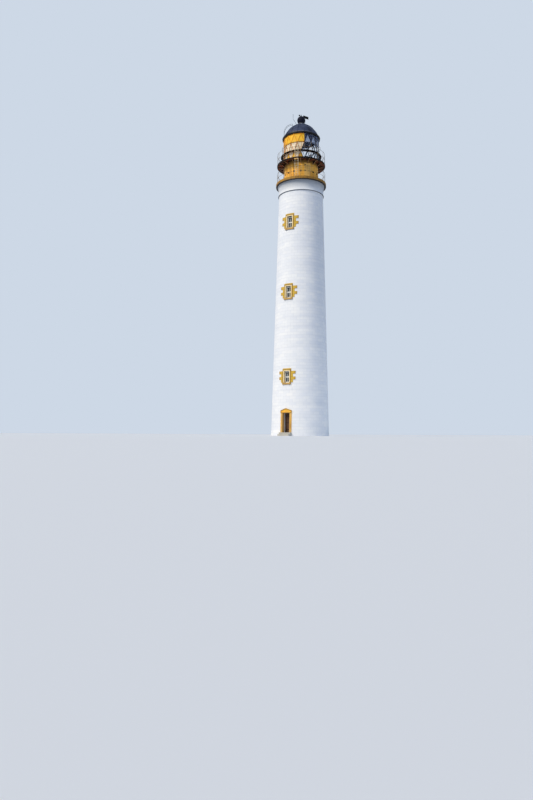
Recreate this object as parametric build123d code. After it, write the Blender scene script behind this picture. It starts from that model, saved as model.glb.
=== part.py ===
from build123d import *
from math import asin, cos, degrees, hypot, radians, sin, sqrt
import os

# A masonry lighthouse with two galleries and a glazed lantern. Sizes are in millimetres.
# The axis of the tower is Z and the ground is at height 0. The front, with the door and the
# row of stair windows, faces -Y. A bearing is an angle in degrees seen from above, counted
# from the front towards +X.

# Fits
seat_gap = 0.3
joint_gap = 0.8
turning_clearance = 0.05
beyond = 400
overcut = 1

# Tapering masonry shaft
shaft_base_radius = 3330
shaft_top_radius = 2520
shaft_height = 27400
well_radius = 1850
wall_quarter = 90

# Entrance
threshold_height = 390
doorway_width = 900
doorway_height = 2150
door_jamb_width = 250
door_surround_depth = 330
door_surround_proud = 40
pediment_side_height = 290
pediment_rise = 240
pediment_border = 70
pediment_border_proud = 55
step_count = 2
step_going = 300
door_frame_width = 70
door_frame_depth = 110
door_frame_setback = 620
door_leaf_thickness = 55
door_leaf_setback = 25

# Stair windows
window_heights = (6570, 16070, 23930)
window_width = 680
window_height = 1270
surround_depth = 330
surround_proud = 40
architrave_width = 190
architrave_proud = 30
lintel_height = 300
long_course_overlap = 685
short_course_overlap = 410
course_count = 4
rustic_joint_width = 16
rustic_joint_depth = 22
sill_overlap = 190
sill_height = 230
sill_proud = 95
sill_fall = 45
window_reveal = 230
window_frame_width = 95
window_frame_depth = 80
pane_thickness = 8
pane_setback = 30

# Gallery at the head of the shaft
string_course_height = 150
string_course_proud = 95
cavetto_foot_proud = 30
cavetto_head_proud = 160
cavetto_straight = 280
cavetto_height = 990
cornice_proud = 350
cornice_height = 340
cornice_round = 30
floor_seat_width = 110

# Iron drum of the watch room, set back from the head of the shaft
bay_count = 16
drum_setback = 580
drum_plate = 25
drum_flange = 90
drum_flange_thickness = 25
drum_height = 2080
drum_joint_bearing = 38.5
gallery_door_margin = 48
gallery_door_height = 1700
gallery_door_sill = 80
vent_height = 920
vent_hole_radius = 60
vent_bore_radius = 40
vent_cap_radius = 95
vent_cap_thickness = 30
vent_sleeve_length = 90

# Lantern gallery
lantern_walk_width = 760
deck_seat_width = 40
deck_thickness = 40
kerb_width = 20
kerb_drop = 60
kerb_rise = 40
bracket_drop = 310
bracket_end_margin = 60
bracket_tip = 40
bracket_foot = 50
bracket_thickness = 22
bracket_bulge_radius = 900
stair_opening_size = 900
stair_opening_back = 250

# Railings of both galleries
main_railing_margin = 140
main_railing_height = 1150
lantern_railing_margin = 60
lantern_railing_height = 1200
stanchion_radius = 17
stanchion_foot_radius = 38
stanchion_foot_height = 14
rail_radius = 14
rail_ball_radius = 30
mid_rail_share = 0.5

# Glazing of flat triangular panes between slanting bars
glazing_proud = 60
tier_height = 1000
tier_count = 3
ring_height = 60
ring_depth = 70
bar_width = 40
bar_depth = 60
lantern_pane_thickness = 8
pane_clearance = 0.6
blank_bay_count = 7

# Narrow catwalk and handrail round the glazing
catwalk_gap = 50
catwalk_width = 290
catwalk_thickness = 30
catwalk_bracket_drop = 100
catwalk_bracket_tip = 30
catwalk_bracket_thickness = 16
handrail_standoff = 180
handrail_radius = 12
standoff_radius = 10

# Eave gutter and dome
eave_height = 150
eave_seat_height = 110
eave_overhang = 160
eave_seat_width = 100
gutter_wall = 25
gutter_floor_margin = 60
gutter_bottom_rise = 50
dome_overhang = 30
dome_rise = 1740
dome_curve_radius = 2450
dome_course_count = 3
dome_plate = 12
dome_opening_radius = 400
rib_width = 40
rib_height = 30

# Ventilator, vane and lightning rod: rises are counted from the crown of the dome
neck_radius = 330
neck_wall = 20
neck_foot_width = 70
neck_foot_height = 40
neck_rise = 145
ball_radius = 460
ball_wall = 8
ball_mouth_margin = 5
spindle_radius = 20
spindle_boss_radius = 50
spindle_boss_height = 25
spindle_length = 190
spindle_cap_radius = 28
spindle_cap_height = 18
vane_bearing = -26.4
vane_hub_radius = 45
vane_hub_height = 80
vane_rod_radius = 11
vane_rod_rise = 40
vane_nose_reach = 420
vane_head_length = 200
vane_head_radius = 95
vane_tail_start = 280
vane_tail_reach = 1000
vane_tail_height = 260
vane_tail_thickness = 8
rod_bearing = -85.4
rod_radius = 14
rod_ball_radius = 34
rod_bend_radius = 290
rod_foot_distance = 540
rod_knee_distance = 720
rod_knee_rise = 380
rod_upright_distance = 1040
rod_upright_rise = 850
rod_rise = 1370

# Ladders
ladder_catwalk_gap = 60
ladder_width = 360
ladder_rise = 820
ladder_stile_radius = 27
ladder_rung_radius = 15
ladder_rung_pitch = 265
hatch_width = 520
hatch_behind_ladder = 220
hatch_before_ladder = 240
dome_ladder_foot_inset = 60
dome_ladder_turn_radius = 970
dome_ladder_standoff = 414
dome_ladder_width = 300
dome_ladder_stile_radius = 13
dome_ladder_rung_radius = 9
dome_ladder_rung_pitch = 280

# Widths, radii, levels and bearings that follow from the sizes above
doorway_head = threshold_height + doorway_height
door_surround_width = doorway_width + 2 * door_jamb_width
lintel_width = window_width + 2 * architrave_width
long_course_width = window_width + 2 * long_course_overlap
short_course_width = window_width + 2 * short_course_overlap
sill_width = window_width + 2 * sill_overlap
string_course_radius = shaft_top_radius + string_course_proud
cavetto_foot_radius = shaft_top_radius + cavetto_foot_proud
cavetto_head_radius = shaft_top_radius + cavetto_head_proud
cornice_radius = shaft_top_radius + cornice_proud
floor_seat_radius = well_radius + floor_seat_width
drum_radius = shaft_top_radius - drum_setback
glazing_radius = drum_radius + glazing_proud
deck_radius = glazing_radius + lantern_walk_width
deck_inner_radius = drum_radius - deck_seat_width
bracket_reach = deck_radius - bracket_end_margin
catwalk_inner_radius = glazing_radius + catwalk_gap
catwalk_outer_radius = catwalk_inner_radius + catwalk_width
handrail_ring_radius = glazing_radius + handrail_standoff
eave_radius = glazing_radius + eave_overhang
eave_inner_radius = glazing_radius - eave_seat_width
gutter_bottom_radius = eave_radius - gutter_floor_margin
dome_base_radius = glazing_radius + dome_overhang
neck_foot_radius = dome_opening_radius + neck_foot_width
ladder_distance = catwalk_outer_radius + ladder_catwalk_gap
dome_ladder_foot_distance = dome_base_radius - dome_ladder_foot_inset

cavetto_level = shaft_height + string_course_height
cornice_level = cavetto_level + cavetto_height
gallery_level = cornice_level + cornice_height
drum_top_level = gallery_level + drum_height
deck_level = drum_top_level + deck_thickness
catwalk_level = deck_level + tier_height + ring_height / 2
glazing_top_level = deck_level + tier_count * tier_height
dome_level = glazing_top_level + eave_seat_height
dome_crown_level = dome_level + dome_rise
neck_top_level = dome_crown_level + neck_rise

bay_angle = 360 / bay_count
drum_bay_width = 2 * drum_radius * sin(radians(bay_angle / 2))
gallery_door_width = drum_bay_width - 2 * gallery_door_margin
bay_centre_bearing = drum_joint_bearing - bay_angle / 2
gallery_door_bearing = drum_joint_bearing + bay_angle / 2
ladder_bearing = drum_joint_bearing - bay_angle
dome_ladder_bearing = bay_centre_bearing - 4 * bay_angle
front_reach = shaft_base_radius + beyond

# The upright plane through the axis at bearing 0: local x is the distance from the axis.
meridian = Plane(origin=(0, 0, 0), x_dir=(0, -1, 0), z_dir=(-1, 0, 0))


def polygon(points):
    return make_face(Polyline(*points, close=True))


def swung(face, start=0, sweep=360):
    """The solid that a face in the meridian plane makes when it swings about the axis."""
    return Rot(0, 0, start) * revolve(meridian * face, Axis.Z, sweep)


def turned(points, start=0, sweep=360):
    return swung(polygon(points), start, sweep)


def band(inner, outer, bottom, top, start=0, sweep=360):
    """A ring, or part of one, with a plain rectangular section."""
    return turned([(inner, bottom), (outer, bottom), (outer, top), (inner, top)], start, sweep)


def sideways(face, thickness):
    """A flat plate standing in the meridian plane."""
    return extrude(meridian * face, thickness / 2, both=True)


def block(width, back, reach, bottom, top):
    """A box across the front, between two distances from the axis and two heights."""
    middle = Pos(0, -(back + reach) / 2, (bottom + top) / 2)
    return middle * Box(width, reach - back, top - bottom)


def all_round(shape, first=0, count=bay_count):
    return [Rot(0, 0, first + number * 360 / count) * shape for number in range(count)]


def joint_angle(radius, gap=joint_gap):
    """The angle that a gap takes up at a distance from the axis."""
    return degrees(gap / radius)


def save(name, *shapes):
    solids = [solid for shape in shapes for solid in shape.solids()]
    export_step(Compound(children=solids), os.path.join("parts", name + ".step"))


def shaft_radius(height):
    return shaft_base_radius - (shaft_base_radius - shaft_top_radius) * height / shaft_height


def shaft_cone(growth=0):
    """The outside of the shaft as a full cone, grown outwards by an amount."""
    foot = shaft_base_radius + growth
    head = shaft_top_radius + growth
    return turned([(0, 0), (foot, 0), (head, shaft_height), (0, shaft_height)])


def wall_quarter_at(middle):
    """A quarter of the hollow shaft, centred on a bearing."""
    outline = [
        (well_radius, 0),
        (shaft_base_radius, 0),
        (shaft_top_radius, shaft_height),
        (well_radius, shaft_height),
    ]
    return turned(outline, middle - wall_quarter / 2, wall_quarter)


def pediment_outline(inset=0):
    """Half-width, eaves and apex of the stone head over the entrance."""
    half = door_surround_width / 2 - inset
    bottom = doorway_head + inset
    side = doorway_head + pediment_side_height - inset / 2
    apex = doorway_head + pediment_side_height + pediment_rise - inset
    return polygon([(-half, bottom), (half, bottom), (half, side), (0, apex), (-half, side)])


def pediment_prism(back, inset=0):
    return extrude(Plane.XZ.offset(back) * pediment_outline(inset), front_reach - back)


def door_stone_back():
    return shaft_radius(doorway_head) - door_surround_depth


def make_entrance():
    """Stone jambs under a pediment, two steps, and a timber door in its frame."""
    back = door_stone_back()
    jambs = block(door_surround_width, back, front_reach, threshold_height, doorway_head)
    jambs -= block(doorway_width, 0, front_reach, threshold_height, doorway_head)
    save("door_jambs", jambs & shaft_cone(door_surround_proud))
    raised = pediment_prism(back) - pediment_prism(0, pediment_border)
    head = pediment_prism(back) & shaft_cone(door_surround_proud)
    head += raised & shaft_cone(door_surround_proud + pediment_border_proud)
    save("door_pediment", head)

    riser = threshold_height / step_count
    steps = Part()
    for number in range(step_count):
        reach = shaft_base_radius + (number + 1) * step_going
        steps += block(door_surround_width, well_radius, reach, 0, threshold_height - number * riser)
    save("door_steps", steps - shaft_cone(seat_gap))

    frame_front = shaft_radius(doorway_head) - door_frame_setback
    frame_back = frame_front - door_frame_depth
    leaf_width = doorway_width - 2 * door_frame_width
    leaf_top = doorway_head - door_frame_width
    frame = block(doorway_width, frame_back, frame_front, threshold_height, doorway_head)
    frame -= block(leaf_width, 0, front_reach, threshold_height, leaf_top)
    save("door_frame", frame)
    leaf_front = frame_front - door_leaf_setback
    leaf = block(
        leaf_width - 2 * seat_gap,
        leaf_front - door_leaf_thickness,
        leaf_front,
        threshold_height + seat_gap,
        leaf_top - seat_gap,
    )
    save("entrance_door", leaf)


def window_stone_back(height):
    return shaft_radius(height + window_height / 2 + lintel_height) - surround_depth


def surround_blocks(height):
    """Lintel and courses of one window surround, as plain blocks, top to bottom."""
    back = window_stone_back(height)
    top = height + window_height / 2
    course = window_height / course_count
    stones = block(lintel_width, back, front_reach, top, top + lintel_height)
    for number in range(course_count):
        width = short_course_width if number % 2 else long_course_width
        upper = top - number * course
        stones += block(width, back, front_reach, upper - course, upper)
    return stones


def sill_block(height):
    bottom = height - window_height / 2 - sill_height
    return block(sill_width, window_stone_back(height), front_reach, bottom, bottom + sill_height)


def window_opening(height):
    low = height - window_height / 2
    return block(window_width, 0, front_reach, low, low + window_height)


def architrave_block(height):
    """The zone of the raised border round one window, from the sill up over the head."""
    low = height - window_height / 2
    high = height + window_height / 2 + architrave_width
    return block(lintel_width, window_stone_back(height), front_reach, low, high)


def window_surround(height):
    """Rusticated stones let into the wall on a flat back, cut by sunk joints, with a border."""
    stones = surround_blocks(height) & shaft_cone(surround_proud)
    course = window_height / course_count
    half = rustic_joint_width / 2
    sunk = Part()
    for number in range(course_count):
        level = height + window_height / 2 - number * course
        sunk += block(long_course_width, 0, front_reach, level - half, level + half)
    stones -= sunk - shaft_cone(surround_proud - rustic_joint_depth)
    stones += architrave_block(height) & shaft_cone(surround_proud + architrave_proud)
    return stones - window_opening(height)


def window_sill(height):
    top = height - window_height / 2
    frame_line = shaft_radius(height) - window_reveal
    nose = shaft_radius(top) + sill_proud
    stone = sill_block(height) & block(sill_width, 0, nose, 0, shaft_height)
    slope = polygon([(frame_line, top), (nose + overcut, top), (nose + overcut, top - sill_fall)])
    return stone - sideways(slope, window_width)


def window_frame(height):
    front = shaft_radius(height) - window_reveal
    back = front - window_frame_depth
    low = height - window_height / 2
    frame = block(window_width, back, front, low, low + window_height)
    return frame - window_lights(height, 0, front_reach)


def window_lights(height, back, front):
    """The upper and lower light of one window between two distances from the axis."""
    light_width = window_width - 2 * window_frame_width
    light_height = (window_height - 3 * window_frame_width) / 2
    low = height - window_height / 2 + window_frame_width
    high = low + light_height + window_frame_width
    lower = block(light_width, back, front, low, low + light_height)
    return lower + block(light_width, back, front, high, high + light_height)


def make_windows():
    save("window_surrounds", *[window_surround(height) for height in window_heights])
    save("window_sills", *[window_sill(height) for height in window_heights])
    save("window_frames", *[window_frame(height) for height in window_heights])
    panes = []
    for height in window_heights:
        front = shaft_radius(height) - window_reveal - pane_setback
        panes.append(window_lights(height, front - pane_thickness, front))
    save("window_panes", *panes)


def make_walls():
    """The shaft in quarters, with the front one split beside and over the doorway."""
    save("right_wall", wall_quarter_at(90))
    save("back_wall", wall_quarter_at(180))
    save("left_wall", wall_quarter_at(-90))

    front = wall_quarter_at(0)
    low = front & block(2 * front_reach, 0, front_reach, 0, doorway_head)
    low -= block(doorway_width, 0, front_reach, 0, doorway_head)
    low -= block(door_surround_width, door_stone_back(), front_reach, threshold_height, doorway_head)
    beside = low.solids().sort_by(Axis.X)
    save("front_wall_left_of_door", beside[0])
    save("front_wall_right_of_door", beside[-1])

    high = front & block(2 * front_reach, 0, front_reach, doorway_head, shaft_height)
    high -= pediment_prism(door_stone_back())
    for height in window_heights:
        high -= surround_blocks(height) + sill_block(height) + window_opening(height)
    save("front_wall_over_door", high)


def stair_opening(bottom, top):
    """The square hole by which a floor is reached, towards the back of the room."""
    middle = Pos(0, stair_opening_back + stair_opening_size / 2, (bottom + top) / 2)
    return middle * Box(stair_opening_size, stair_opening_size, top - bottom)


def plate_joints(bottom, top):
    """The joints between the four plates of an iron floor: one across, two back from it."""
    middle = (bottom + top) / 2
    depth = top - bottom
    side = (stair_opening_size + joint_gap) / 2
    across = Pos(0, stair_opening_back - joint_gap / 2, middle)
    joints = across * Box(2 * deck_radius, joint_gap, depth)
    for x in (-side, side):
        joints += Pos(x, stair_opening_back + deck_radius / 2, middle) * Box(joint_gap, deck_radius, depth)
    return joints


def make_floors():
    ground = band(0, well_radius - seat_gap, 0, threshold_height)
    passage = block(doorway_width, 0, front_reach, 0, threshold_height)
    save("ground_floor", ground + (passage & shaft_cone()))

    watch = band(0, floor_seat_radius - seat_gap, cornice_level, gallery_level)
    save("watch_room_floor", watch - stair_opening(cornice_level, gallery_level))

    lantern = band(0, deck_inner_radius - joint_gap, drum_top_level, deck_level)
    lantern -= stair_opening(drum_top_level, deck_level)
    save("lantern_floor", lantern - plate_joints(drum_top_level, deck_level))


def make_gallery_courses():
    """Thin string course, hollow-curved cavetto and broad cornice under the main gallery."""
    string = band(well_radius, string_course_radius, shaft_height, cavetto_level)
    rims = string.edges().filter_by(GeomType.CIRCLE).sort_by(SortBy.RADIUS)[-2:]
    save("string_course", fillet(rims, string_course_height / 3))

    curve_foot = cavetto_level + cavetto_straight
    outline = Polyline(
        (cavetto_head_radius, cornice_level),
        (well_radius, cornice_level),
        (well_radius, cavetto_level),
        (cavetto_foot_radius, cavetto_level),
        (cavetto_foot_radius, curve_foot),
    )
    hollow = TangentArc(
        (cavetto_foot_radius, curve_foot), (cavetto_head_radius, cornice_level), tangent=(0, 1)
    )
    save("cavetto_course", swung(make_face(outline + hollow)))

    cornice = band(floor_seat_radius, cornice_radius, cornice_level, gallery_level)
    rims = cornice.edges().filter_by(GeomType.CIRCLE).sort_by(SortBy.RADIUS)[-2:]
    save("gallery_cornice", fillet(rims, cornice_round))


def drum_panel():
    """One cast panel of the drum: a curved plate with flanges round its inside."""
    inner = drum_radius - drum_flange
    face = drum_radius - drum_plate
    sweep = bay_angle - joint_angle(drum_radius)
    margin = joint_angle(drum_radius, drum_flange_thickness)
    casting = band(inner, drum_radius, gallery_level, drum_top_level, -sweep / 2, sweep)
    low = gallery_level + drum_flange_thickness
    high = drum_top_level - drum_flange_thickness
    return casting - band(inner - overcut, face, low, high, margin - sweep / 2, sweep - 2 * margin)


def towards_front(radius, back, reach, height):
    """A round bar that points out at the front, between two distances from the axis."""
    return Pos(0, -(back + reach) / 2, height) * Rot(90, 0, 0) * Cylinder(radius, reach - back)


def make_drum():
    """Sixteen bolted panels, one with the gallery door, the others with a round vent each."""
    level = gallery_level + vent_height
    panel = drum_panel() - towards_front(vent_hole_radius + seat_gap, 0, front_reach, level)
    low = gallery_level + gallery_door_sill
    high = low + gallery_door_height
    door_panel = drum_panel() - block(gallery_door_width, 0, front_reach, low, high)
    sleeve_back = drum_radius - vent_sleeve_length
    cap_back = drum_radius + seat_gap
    vent = towards_front(vent_hole_radius, sleeve_back, cap_back, level)
    vent += towards_front(vent_cap_radius, cap_back, cap_back + vent_cap_thickness, level)
    vent -= towards_front(vent_bore_radius, 0, front_reach, level)

    plain = [gallery_door_bearing + number * bay_angle for number in range(1, bay_count)]
    panels = [Rot(0, 0, bearing) * panel for bearing in plain]
    save("drum_panels", *panels, Rot(0, 0, gallery_door_bearing) * door_panel)
    save("drum_vents", *[Rot(0, 0, bearing) * vent for bearing in plain])

    plate = band(drum_radius - drum_plate, drum_radius, low + seat_gap, high - seat_gap)
    door = plate & block(gallery_door_width - 2 * seat_gap, 0, front_reach, low, high)
    save("gallery_door", Rot(0, 0, gallery_door_bearing) * door)


def make_lantern_gallery():
    """Deck plates with a kerb, joined over curved iron brackets, and a hatch for the ladder."""
    kerb_back = deck_radius - kerb_width
    outline = [
        (deck_inner_radius, drum_top_level),
        (kerb_back, drum_top_level),
        (kerb_back, drum_top_level - kerb_drop),
        (deck_radius, drum_top_level - kerb_drop),
        (deck_radius, deck_level + kerb_rise),
        (kerb_back, deck_level + kerb_rise),
        (kerb_back, deck_level),
        (deck_inner_radius, deck_level),
    ]
    sweep = bay_angle - joint_angle(deck_inner_radius)
    plate = turned(outline, -sweep / 2, sweep)
    save("lantern_gallery_deck", *all_round(plate, ladder_bearing)[1:])
    hatch_inner = ladder_distance - hatch_behind_ladder
    hatch_outer = ladder_distance + hatch_before_ladder
    hatch = block(hatch_width, hatch_inner, hatch_outer, drum_top_level, deck_level)
    save("hatch_plate", Rot(0, 0, ladder_bearing) * (plate - hatch))

    wall = drum_radius + seat_gap
    foot = drum_top_level - bracket_drop
    straight = Polyline(
        (wall + bracket_foot, foot),
        (wall, foot),
        (wall, drum_top_level),
        (bracket_reach, drum_top_level),
        (bracket_reach, drum_top_level - bracket_tip),
    )
    curve = RadiusArc(
        (bracket_reach, drum_top_level - bracket_tip), (wall + bracket_foot, foot), -bracket_bulge_radius
    )
    bracket = sideways(make_face(straight + curve), bracket_thickness)
    save("lantern_gallery_brackets", *all_round(bracket, bay_centre_bearing))


def railing_parts(ring_radius, floor, height):
    """One stanchion with its balls, and one bay of rails that ends at the balls."""
    levels = [floor + height * share for share in (mid_rail_share, 1)]
    post = Pos(0, -ring_radius, floor + height / 2) * Cylinder(stanchion_radius, height)
    foot = Pos(0, -ring_radius, floor + stanchion_foot_height / 2)
    post += foot * Cylinder(stanchion_foot_radius, stanchion_foot_height)
    for level in levels:
        post += Pos(0, -ring_radius, level) * Sphere(rail_ball_radius)
    cut = joint_angle(ring_radius, rail_ball_radius + seat_gap)
    rails = []
    for level in levels:
        section = Pos(ring_radius, level) * Circle(rail_radius)
        rails.append(swung(section, cut, bay_angle - 2 * cut))
    return post, rails


def make_railings():
    for name, ring_radius, floor, height in (
        ("main_railing", cornice_radius - main_railing_margin, gallery_level, main_railing_height),
        ("lantern_railing", deck_radius - lantern_railing_margin, deck_level, lantern_railing_height),
    ):
        post, bay = railing_parts(ring_radius, floor, height)
        save(name + "_stanchions", *all_round(post, bay_centre_bearing))
        rails = [copy for rail in bay for copy in all_round(rail, bay_centre_bearing)]
        save(name + "_rails", *rails)


def ring_level(number):
    """The heights of the underside of the glazing rings, from the sill up to the head."""
    if number == 0:
        return deck_level
    if number == tier_count:
        return glazing_top_level - ring_height
    return deck_level + number * tier_height - ring_height / 2


def ring_bearing(number):
    """The bearing of one corner of a glazing ring: corners shift by half a bay each tier."""
    return drum_joint_bearing - (number % 2) * bay_angle / 2


def around(radius, bearing, height):
    angle = radians(bearing)
    return Vector(radius * sin(angle), -radius * cos(angle), height)


def ring_polygon(radius, first):
    corners = [around(radius, first + number * bay_angle, 0) for number in range(bay_count)]
    return polygon([(corner.X, corner.Y) for corner in corners])


def glazing_ring(number):
    outer = ring_polygon(glazing_radius + ring_depth / 2, ring_bearing(number))
    inner = ring_polygon(glazing_radius - ring_depth / 2, ring_bearing(number))
    return extrude(Pos(0, 0, ring_level(number)) * (outer - inner), ring_height)


def slanting_bar(tier, lower_bearing, turn):
    """One bar of the lattice, from a corner of one ring to a corner of the next.

    It leans by half a bay, to the side that turn gives, and has level ends that lie flat
    on the rings. Two bars meet at each corner, side by side.
    """
    across = around(1, lower_bearing + turn * bay_angle / 4 + 90, 0) * turn
    low = around(glazing_radius, lower_bearing, ring_level(tier) + ring_height)
    high = around(glazing_radius, lower_bearing + turn * bay_angle / 2, ring_level(tier + 1))
    offset = across * (bar_width + joint_gap) / 2
    start = low + offset
    run = high - offset - start
    section = Plane(origin=start, x_dir=across, z_dir=(0, 0, 1)) * Rectangle(bar_width, bar_depth)
    return extrude(section, run.length, dir=run.normalized())


def pane(corners, thickness):
    """A flat triangular sheet that stands clear of the bars round it by the pane clearance."""
    sides = [(corners[n - 2] - corners[n - 1]).length for n in range(3)]
    total = sum(sides)
    centre = sum((corner * side for corner, side in zip(corners, sides)), Vector(0, 0, 0)) / total
    half = total / 2
    inscribed = sqrt((half - sides[0]) * (half - sides[1]) * (half - sides[2]) / half)
    shrink = 1 - pane_clearance / inscribed
    points = [centre + (corner - centre) * shrink for corner in corners]
    return extrude(make_face(Polyline(*points, close=True)), thickness / 2, both=True)


def bay_pane(tier, bearing, points_up):
    """The pane between two bars and a ring, centred on a bearing."""
    low = ring_level(tier) + ring_height
    high = ring_level(tier + 1)
    base = low if points_up else high
    tip = high if points_up else low
    corners = [around(glazing_radius, bearing, tip)]
    for turn in (-1, 1):
        across = around(1, bearing + turn * bay_angle / 4 + 90, 0) * turn
        corner = around(glazing_radius, bearing + turn * bay_angle / 2, base)
        corners.append(corner - across * (bar_width + joint_gap / 2))
    return pane(corners, lantern_pane_thickness)


def make_glazing():
    """Four rings and slanting bars hold flat triangular panes.

    Towards the land the panes are painted sheets: yellow ones at the top and upright yellow
    ones at the foot, cream ones between. The top sheets end half-way over a pane.
    """
    save("glazing_rings", *[glazing_ring(number) for number in range(tier_count + 1)])
    bars = []
    for tier in range(tier_count):
        for turn in (-1, 1):
            bars += all_round(slanting_bar(tier, 0, turn), ring_bearing(tier))
    save("glazing_bars", *bars)

    glass = []
    yellow = []
    cream = []
    top_tier = tier_count - 1
    for tier in range(tier_count):
        for points_up in (False, True):
            tip_ring = tier + 1 if points_up else tier
            for number in range(bay_count):
                half_bays = 2 * number - bay_count - tip_ring % 2
                bearing = drum_joint_bearing + half_bays * bay_angle / 2
                sheet = bay_pane(tier, bearing, points_up)
                if tier == top_tier and half_bays == 0:
                    halves = split_upright(sheet, bearing)
                    yellow.append(halves[0])
                    glass.append(halves[1])
                elif not -2 * blank_bay_count <= half_bays < 0:
                    glass.append(sheet)
                elif tier == top_tier or (tier == 0 and points_up):
                    yellow.append(sheet)
                else:
                    cream.append(sheet)
    save("lantern_panes", *glass)
    save("yellow_blank_panels", *yellow)
    save("cream_blank_panels", *cream)


def split_upright(sheet, bearing):
    """A pane cut in two down its middle, with a joint between the halves."""
    half_cut = joint_angle(glazing_radius) / 2
    halves = []
    for start in (bearing - bay_angle, bearing + half_cut):
        sector = band(0, deck_radius, deck_level, dome_level, start, bay_angle - half_cut)
        halves.append(sheet & sector)
    return halves


def make_catwalk():
    """Narrow plates on small brackets round the glazing, and a handrail above them."""
    level = catwalk_level - catwalk_thickness
    ring_face = glazing_radius + ring_depth / 2 + seat_gap
    sweep = bay_angle - joint_angle(catwalk_inner_radius)
    plate = band(catwalk_inner_radius, catwalk_outer_radius, level, catwalk_level, -sweep / 2, sweep)
    save("catwalk_plates", *all_round(plate, drum_joint_bearing))
    outline = polygon([
        (ring_face, level - catwalk_bracket_drop),
        (catwalk_outer_radius, level - catwalk_bracket_tip),
        (catwalk_outer_radius, level),
        (ring_face, level),
    ])
    bracket = sideways(outline, catwalk_bracket_thickness)
    save("catwalk_brackets", *all_round(bracket, ring_bearing(1)))

    rail_level = deck_level + 2 * tier_height
    sweep = bay_angle - joint_angle(handrail_ring_radius)
    section = Pos(handrail_ring_radius, rail_level) * Circle(handrail_radius)
    rail = swung(section, -sweep / 2, sweep)
    rail += towards_front(standoff_radius, ring_face, handrail_ring_radius, rail_level)
    save("upper_handrail", *all_round(rail, ring_bearing(2)))


def dome_curve_centre():
    """Centre of the dome's arc, which runs from the eave up to a point on the axis."""
    chord = hypot(dome_base_radius, dome_rise)
    drop = sqrt(dome_curve_radius ** 2 - chord ** 2 / 4)
    across = dome_base_radius / 2 - drop * dome_rise / chord
    return across, dome_level + dome_rise / 2 - drop * dome_base_radius / chord


def dome_height(distance):
    """Height of the dome's outside at a distance from the axis."""
    centre, level = dome_curve_centre()
    return level + sqrt(dome_curve_radius ** 2 - (distance - centre) ** 2)


def dome_band(inner_curve, outer_curve, nearest, furthest):
    """Section of a layer of the dome, between two radii of its arc and two distances."""
    height = dome_rise + rib_height
    width = furthest - nearest
    window = Pos(nearest + width / 2, dome_level + height / 2) * Rectangle(width, height)
    centre = Pos(*dome_curve_centre())
    return centre * (Circle(outer_curve) - Circle(inner_curve)) & window


def dome_course_distances():
    """The distances from the axis at which the courses of dome sheets meet, crown first."""
    centre = dome_curve_centre()[0]
    crown = asin((dome_opening_radius - centre) / dome_curve_radius)
    foot = asin((dome_base_radius - centre) / dome_curve_radius)
    step = (foot - crown) / dome_course_count
    angles = [crown + number * step for number in range(dome_course_count + 1)]
    return [centre + dome_curve_radius * sin(angle) for angle in angles]


def make_dome():
    """Gores of three sheets each with ribs over their joints, on a gutter in cast lengths."""
    gutter = [
        (eave_inner_radius, glazing_top_level),
        (gutter_bottom_radius, glazing_top_level),
        (eave_radius, glazing_top_level + gutter_bottom_rise),
        (eave_radius, glazing_top_level + eave_height),
        (eave_radius - gutter_wall, glazing_top_level + eave_height),
        (eave_radius - gutter_wall, glazing_top_level + gutter_bottom_rise + gutter_wall),
        (gutter_bottom_radius - gutter_wall, glazing_top_level + gutter_wall),
        (dome_base_radius, glazing_top_level + gutter_wall),
        (dome_base_radius, dome_level),
        (eave_inner_radius, dome_level),
    ]
    sweep = bay_angle - joint_angle(eave_inner_radius)
    save("eave_gutter", *all_round(turned(gutter, -sweep / 2, sweep), bay_centre_bearing))

    sweep = bay_angle - joint_angle(dome_base_radius)
    distances = dome_course_distances()
    sheets = []
    for near, far in zip(distances, distances[1:]):
        layer = dome_band(dome_curve_radius - dome_plate, dome_curve_radius, near + joint_gap, far)
        sheets += all_round(swung(layer, -sweep / 2, sweep), bay_centre_bearing)
    save("dome_gores", *sheets)
    strip = dome_band(
        dome_curve_radius + seat_gap,
        dome_curve_radius + rib_height,
        neck_foot_radius,
        dome_base_radius,
    )
    save("dome_ribs", *all_round(sideways(strip, rib_width), drum_joint_bearing))


def make_ventilator():
    """Flanged neck, hollow ball and fixed spindle on the crown of the dome."""
    foot = dome_height(dome_opening_radius) + seat_gap
    inner = neck_radius - neck_wall
    skirt = dome_height(neck_foot_radius) + seat_gap
    neck = turned([
        (inner, foot),
        (dome_opening_radius, foot),
        (neck_foot_radius, skirt),
        (neck_foot_radius, foot + neck_foot_height),
        (neck_radius, foot + 2 * neck_foot_height),
        (neck_radius, neck_top_level),
        (inner, neck_top_level),
    ])
    save("ventilator_neck", neck)

    mouth = neck_radius - ball_mouth_margin
    centre = Pos(0, 0, neck_top_level + sqrt(ball_radius ** 2 - mouth ** 2))
    crown = centre.position.Z + ball_radius
    ball = centre * (Sphere(ball_radius) - Sphere(ball_radius - ball_wall))
    save("ventilator_ball", ball & band(0, ball_radius, neck_top_level, crown))

    boss_level = crown + seat_gap
    hub_level = boss_level + spindle_boss_height
    cap_level = boss_level + spindle_length
    spindle = band(0, spindle_boss_radius, boss_level, hub_level)
    spindle += band(0, spindle_radius, boss_level, cap_level)
    spindle += band(0, spindle_cap_radius, cap_level, cap_level + spindle_cap_height)
    save("vane_spindle", spindle)
    make_vane(hub_level + seat_gap)


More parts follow.
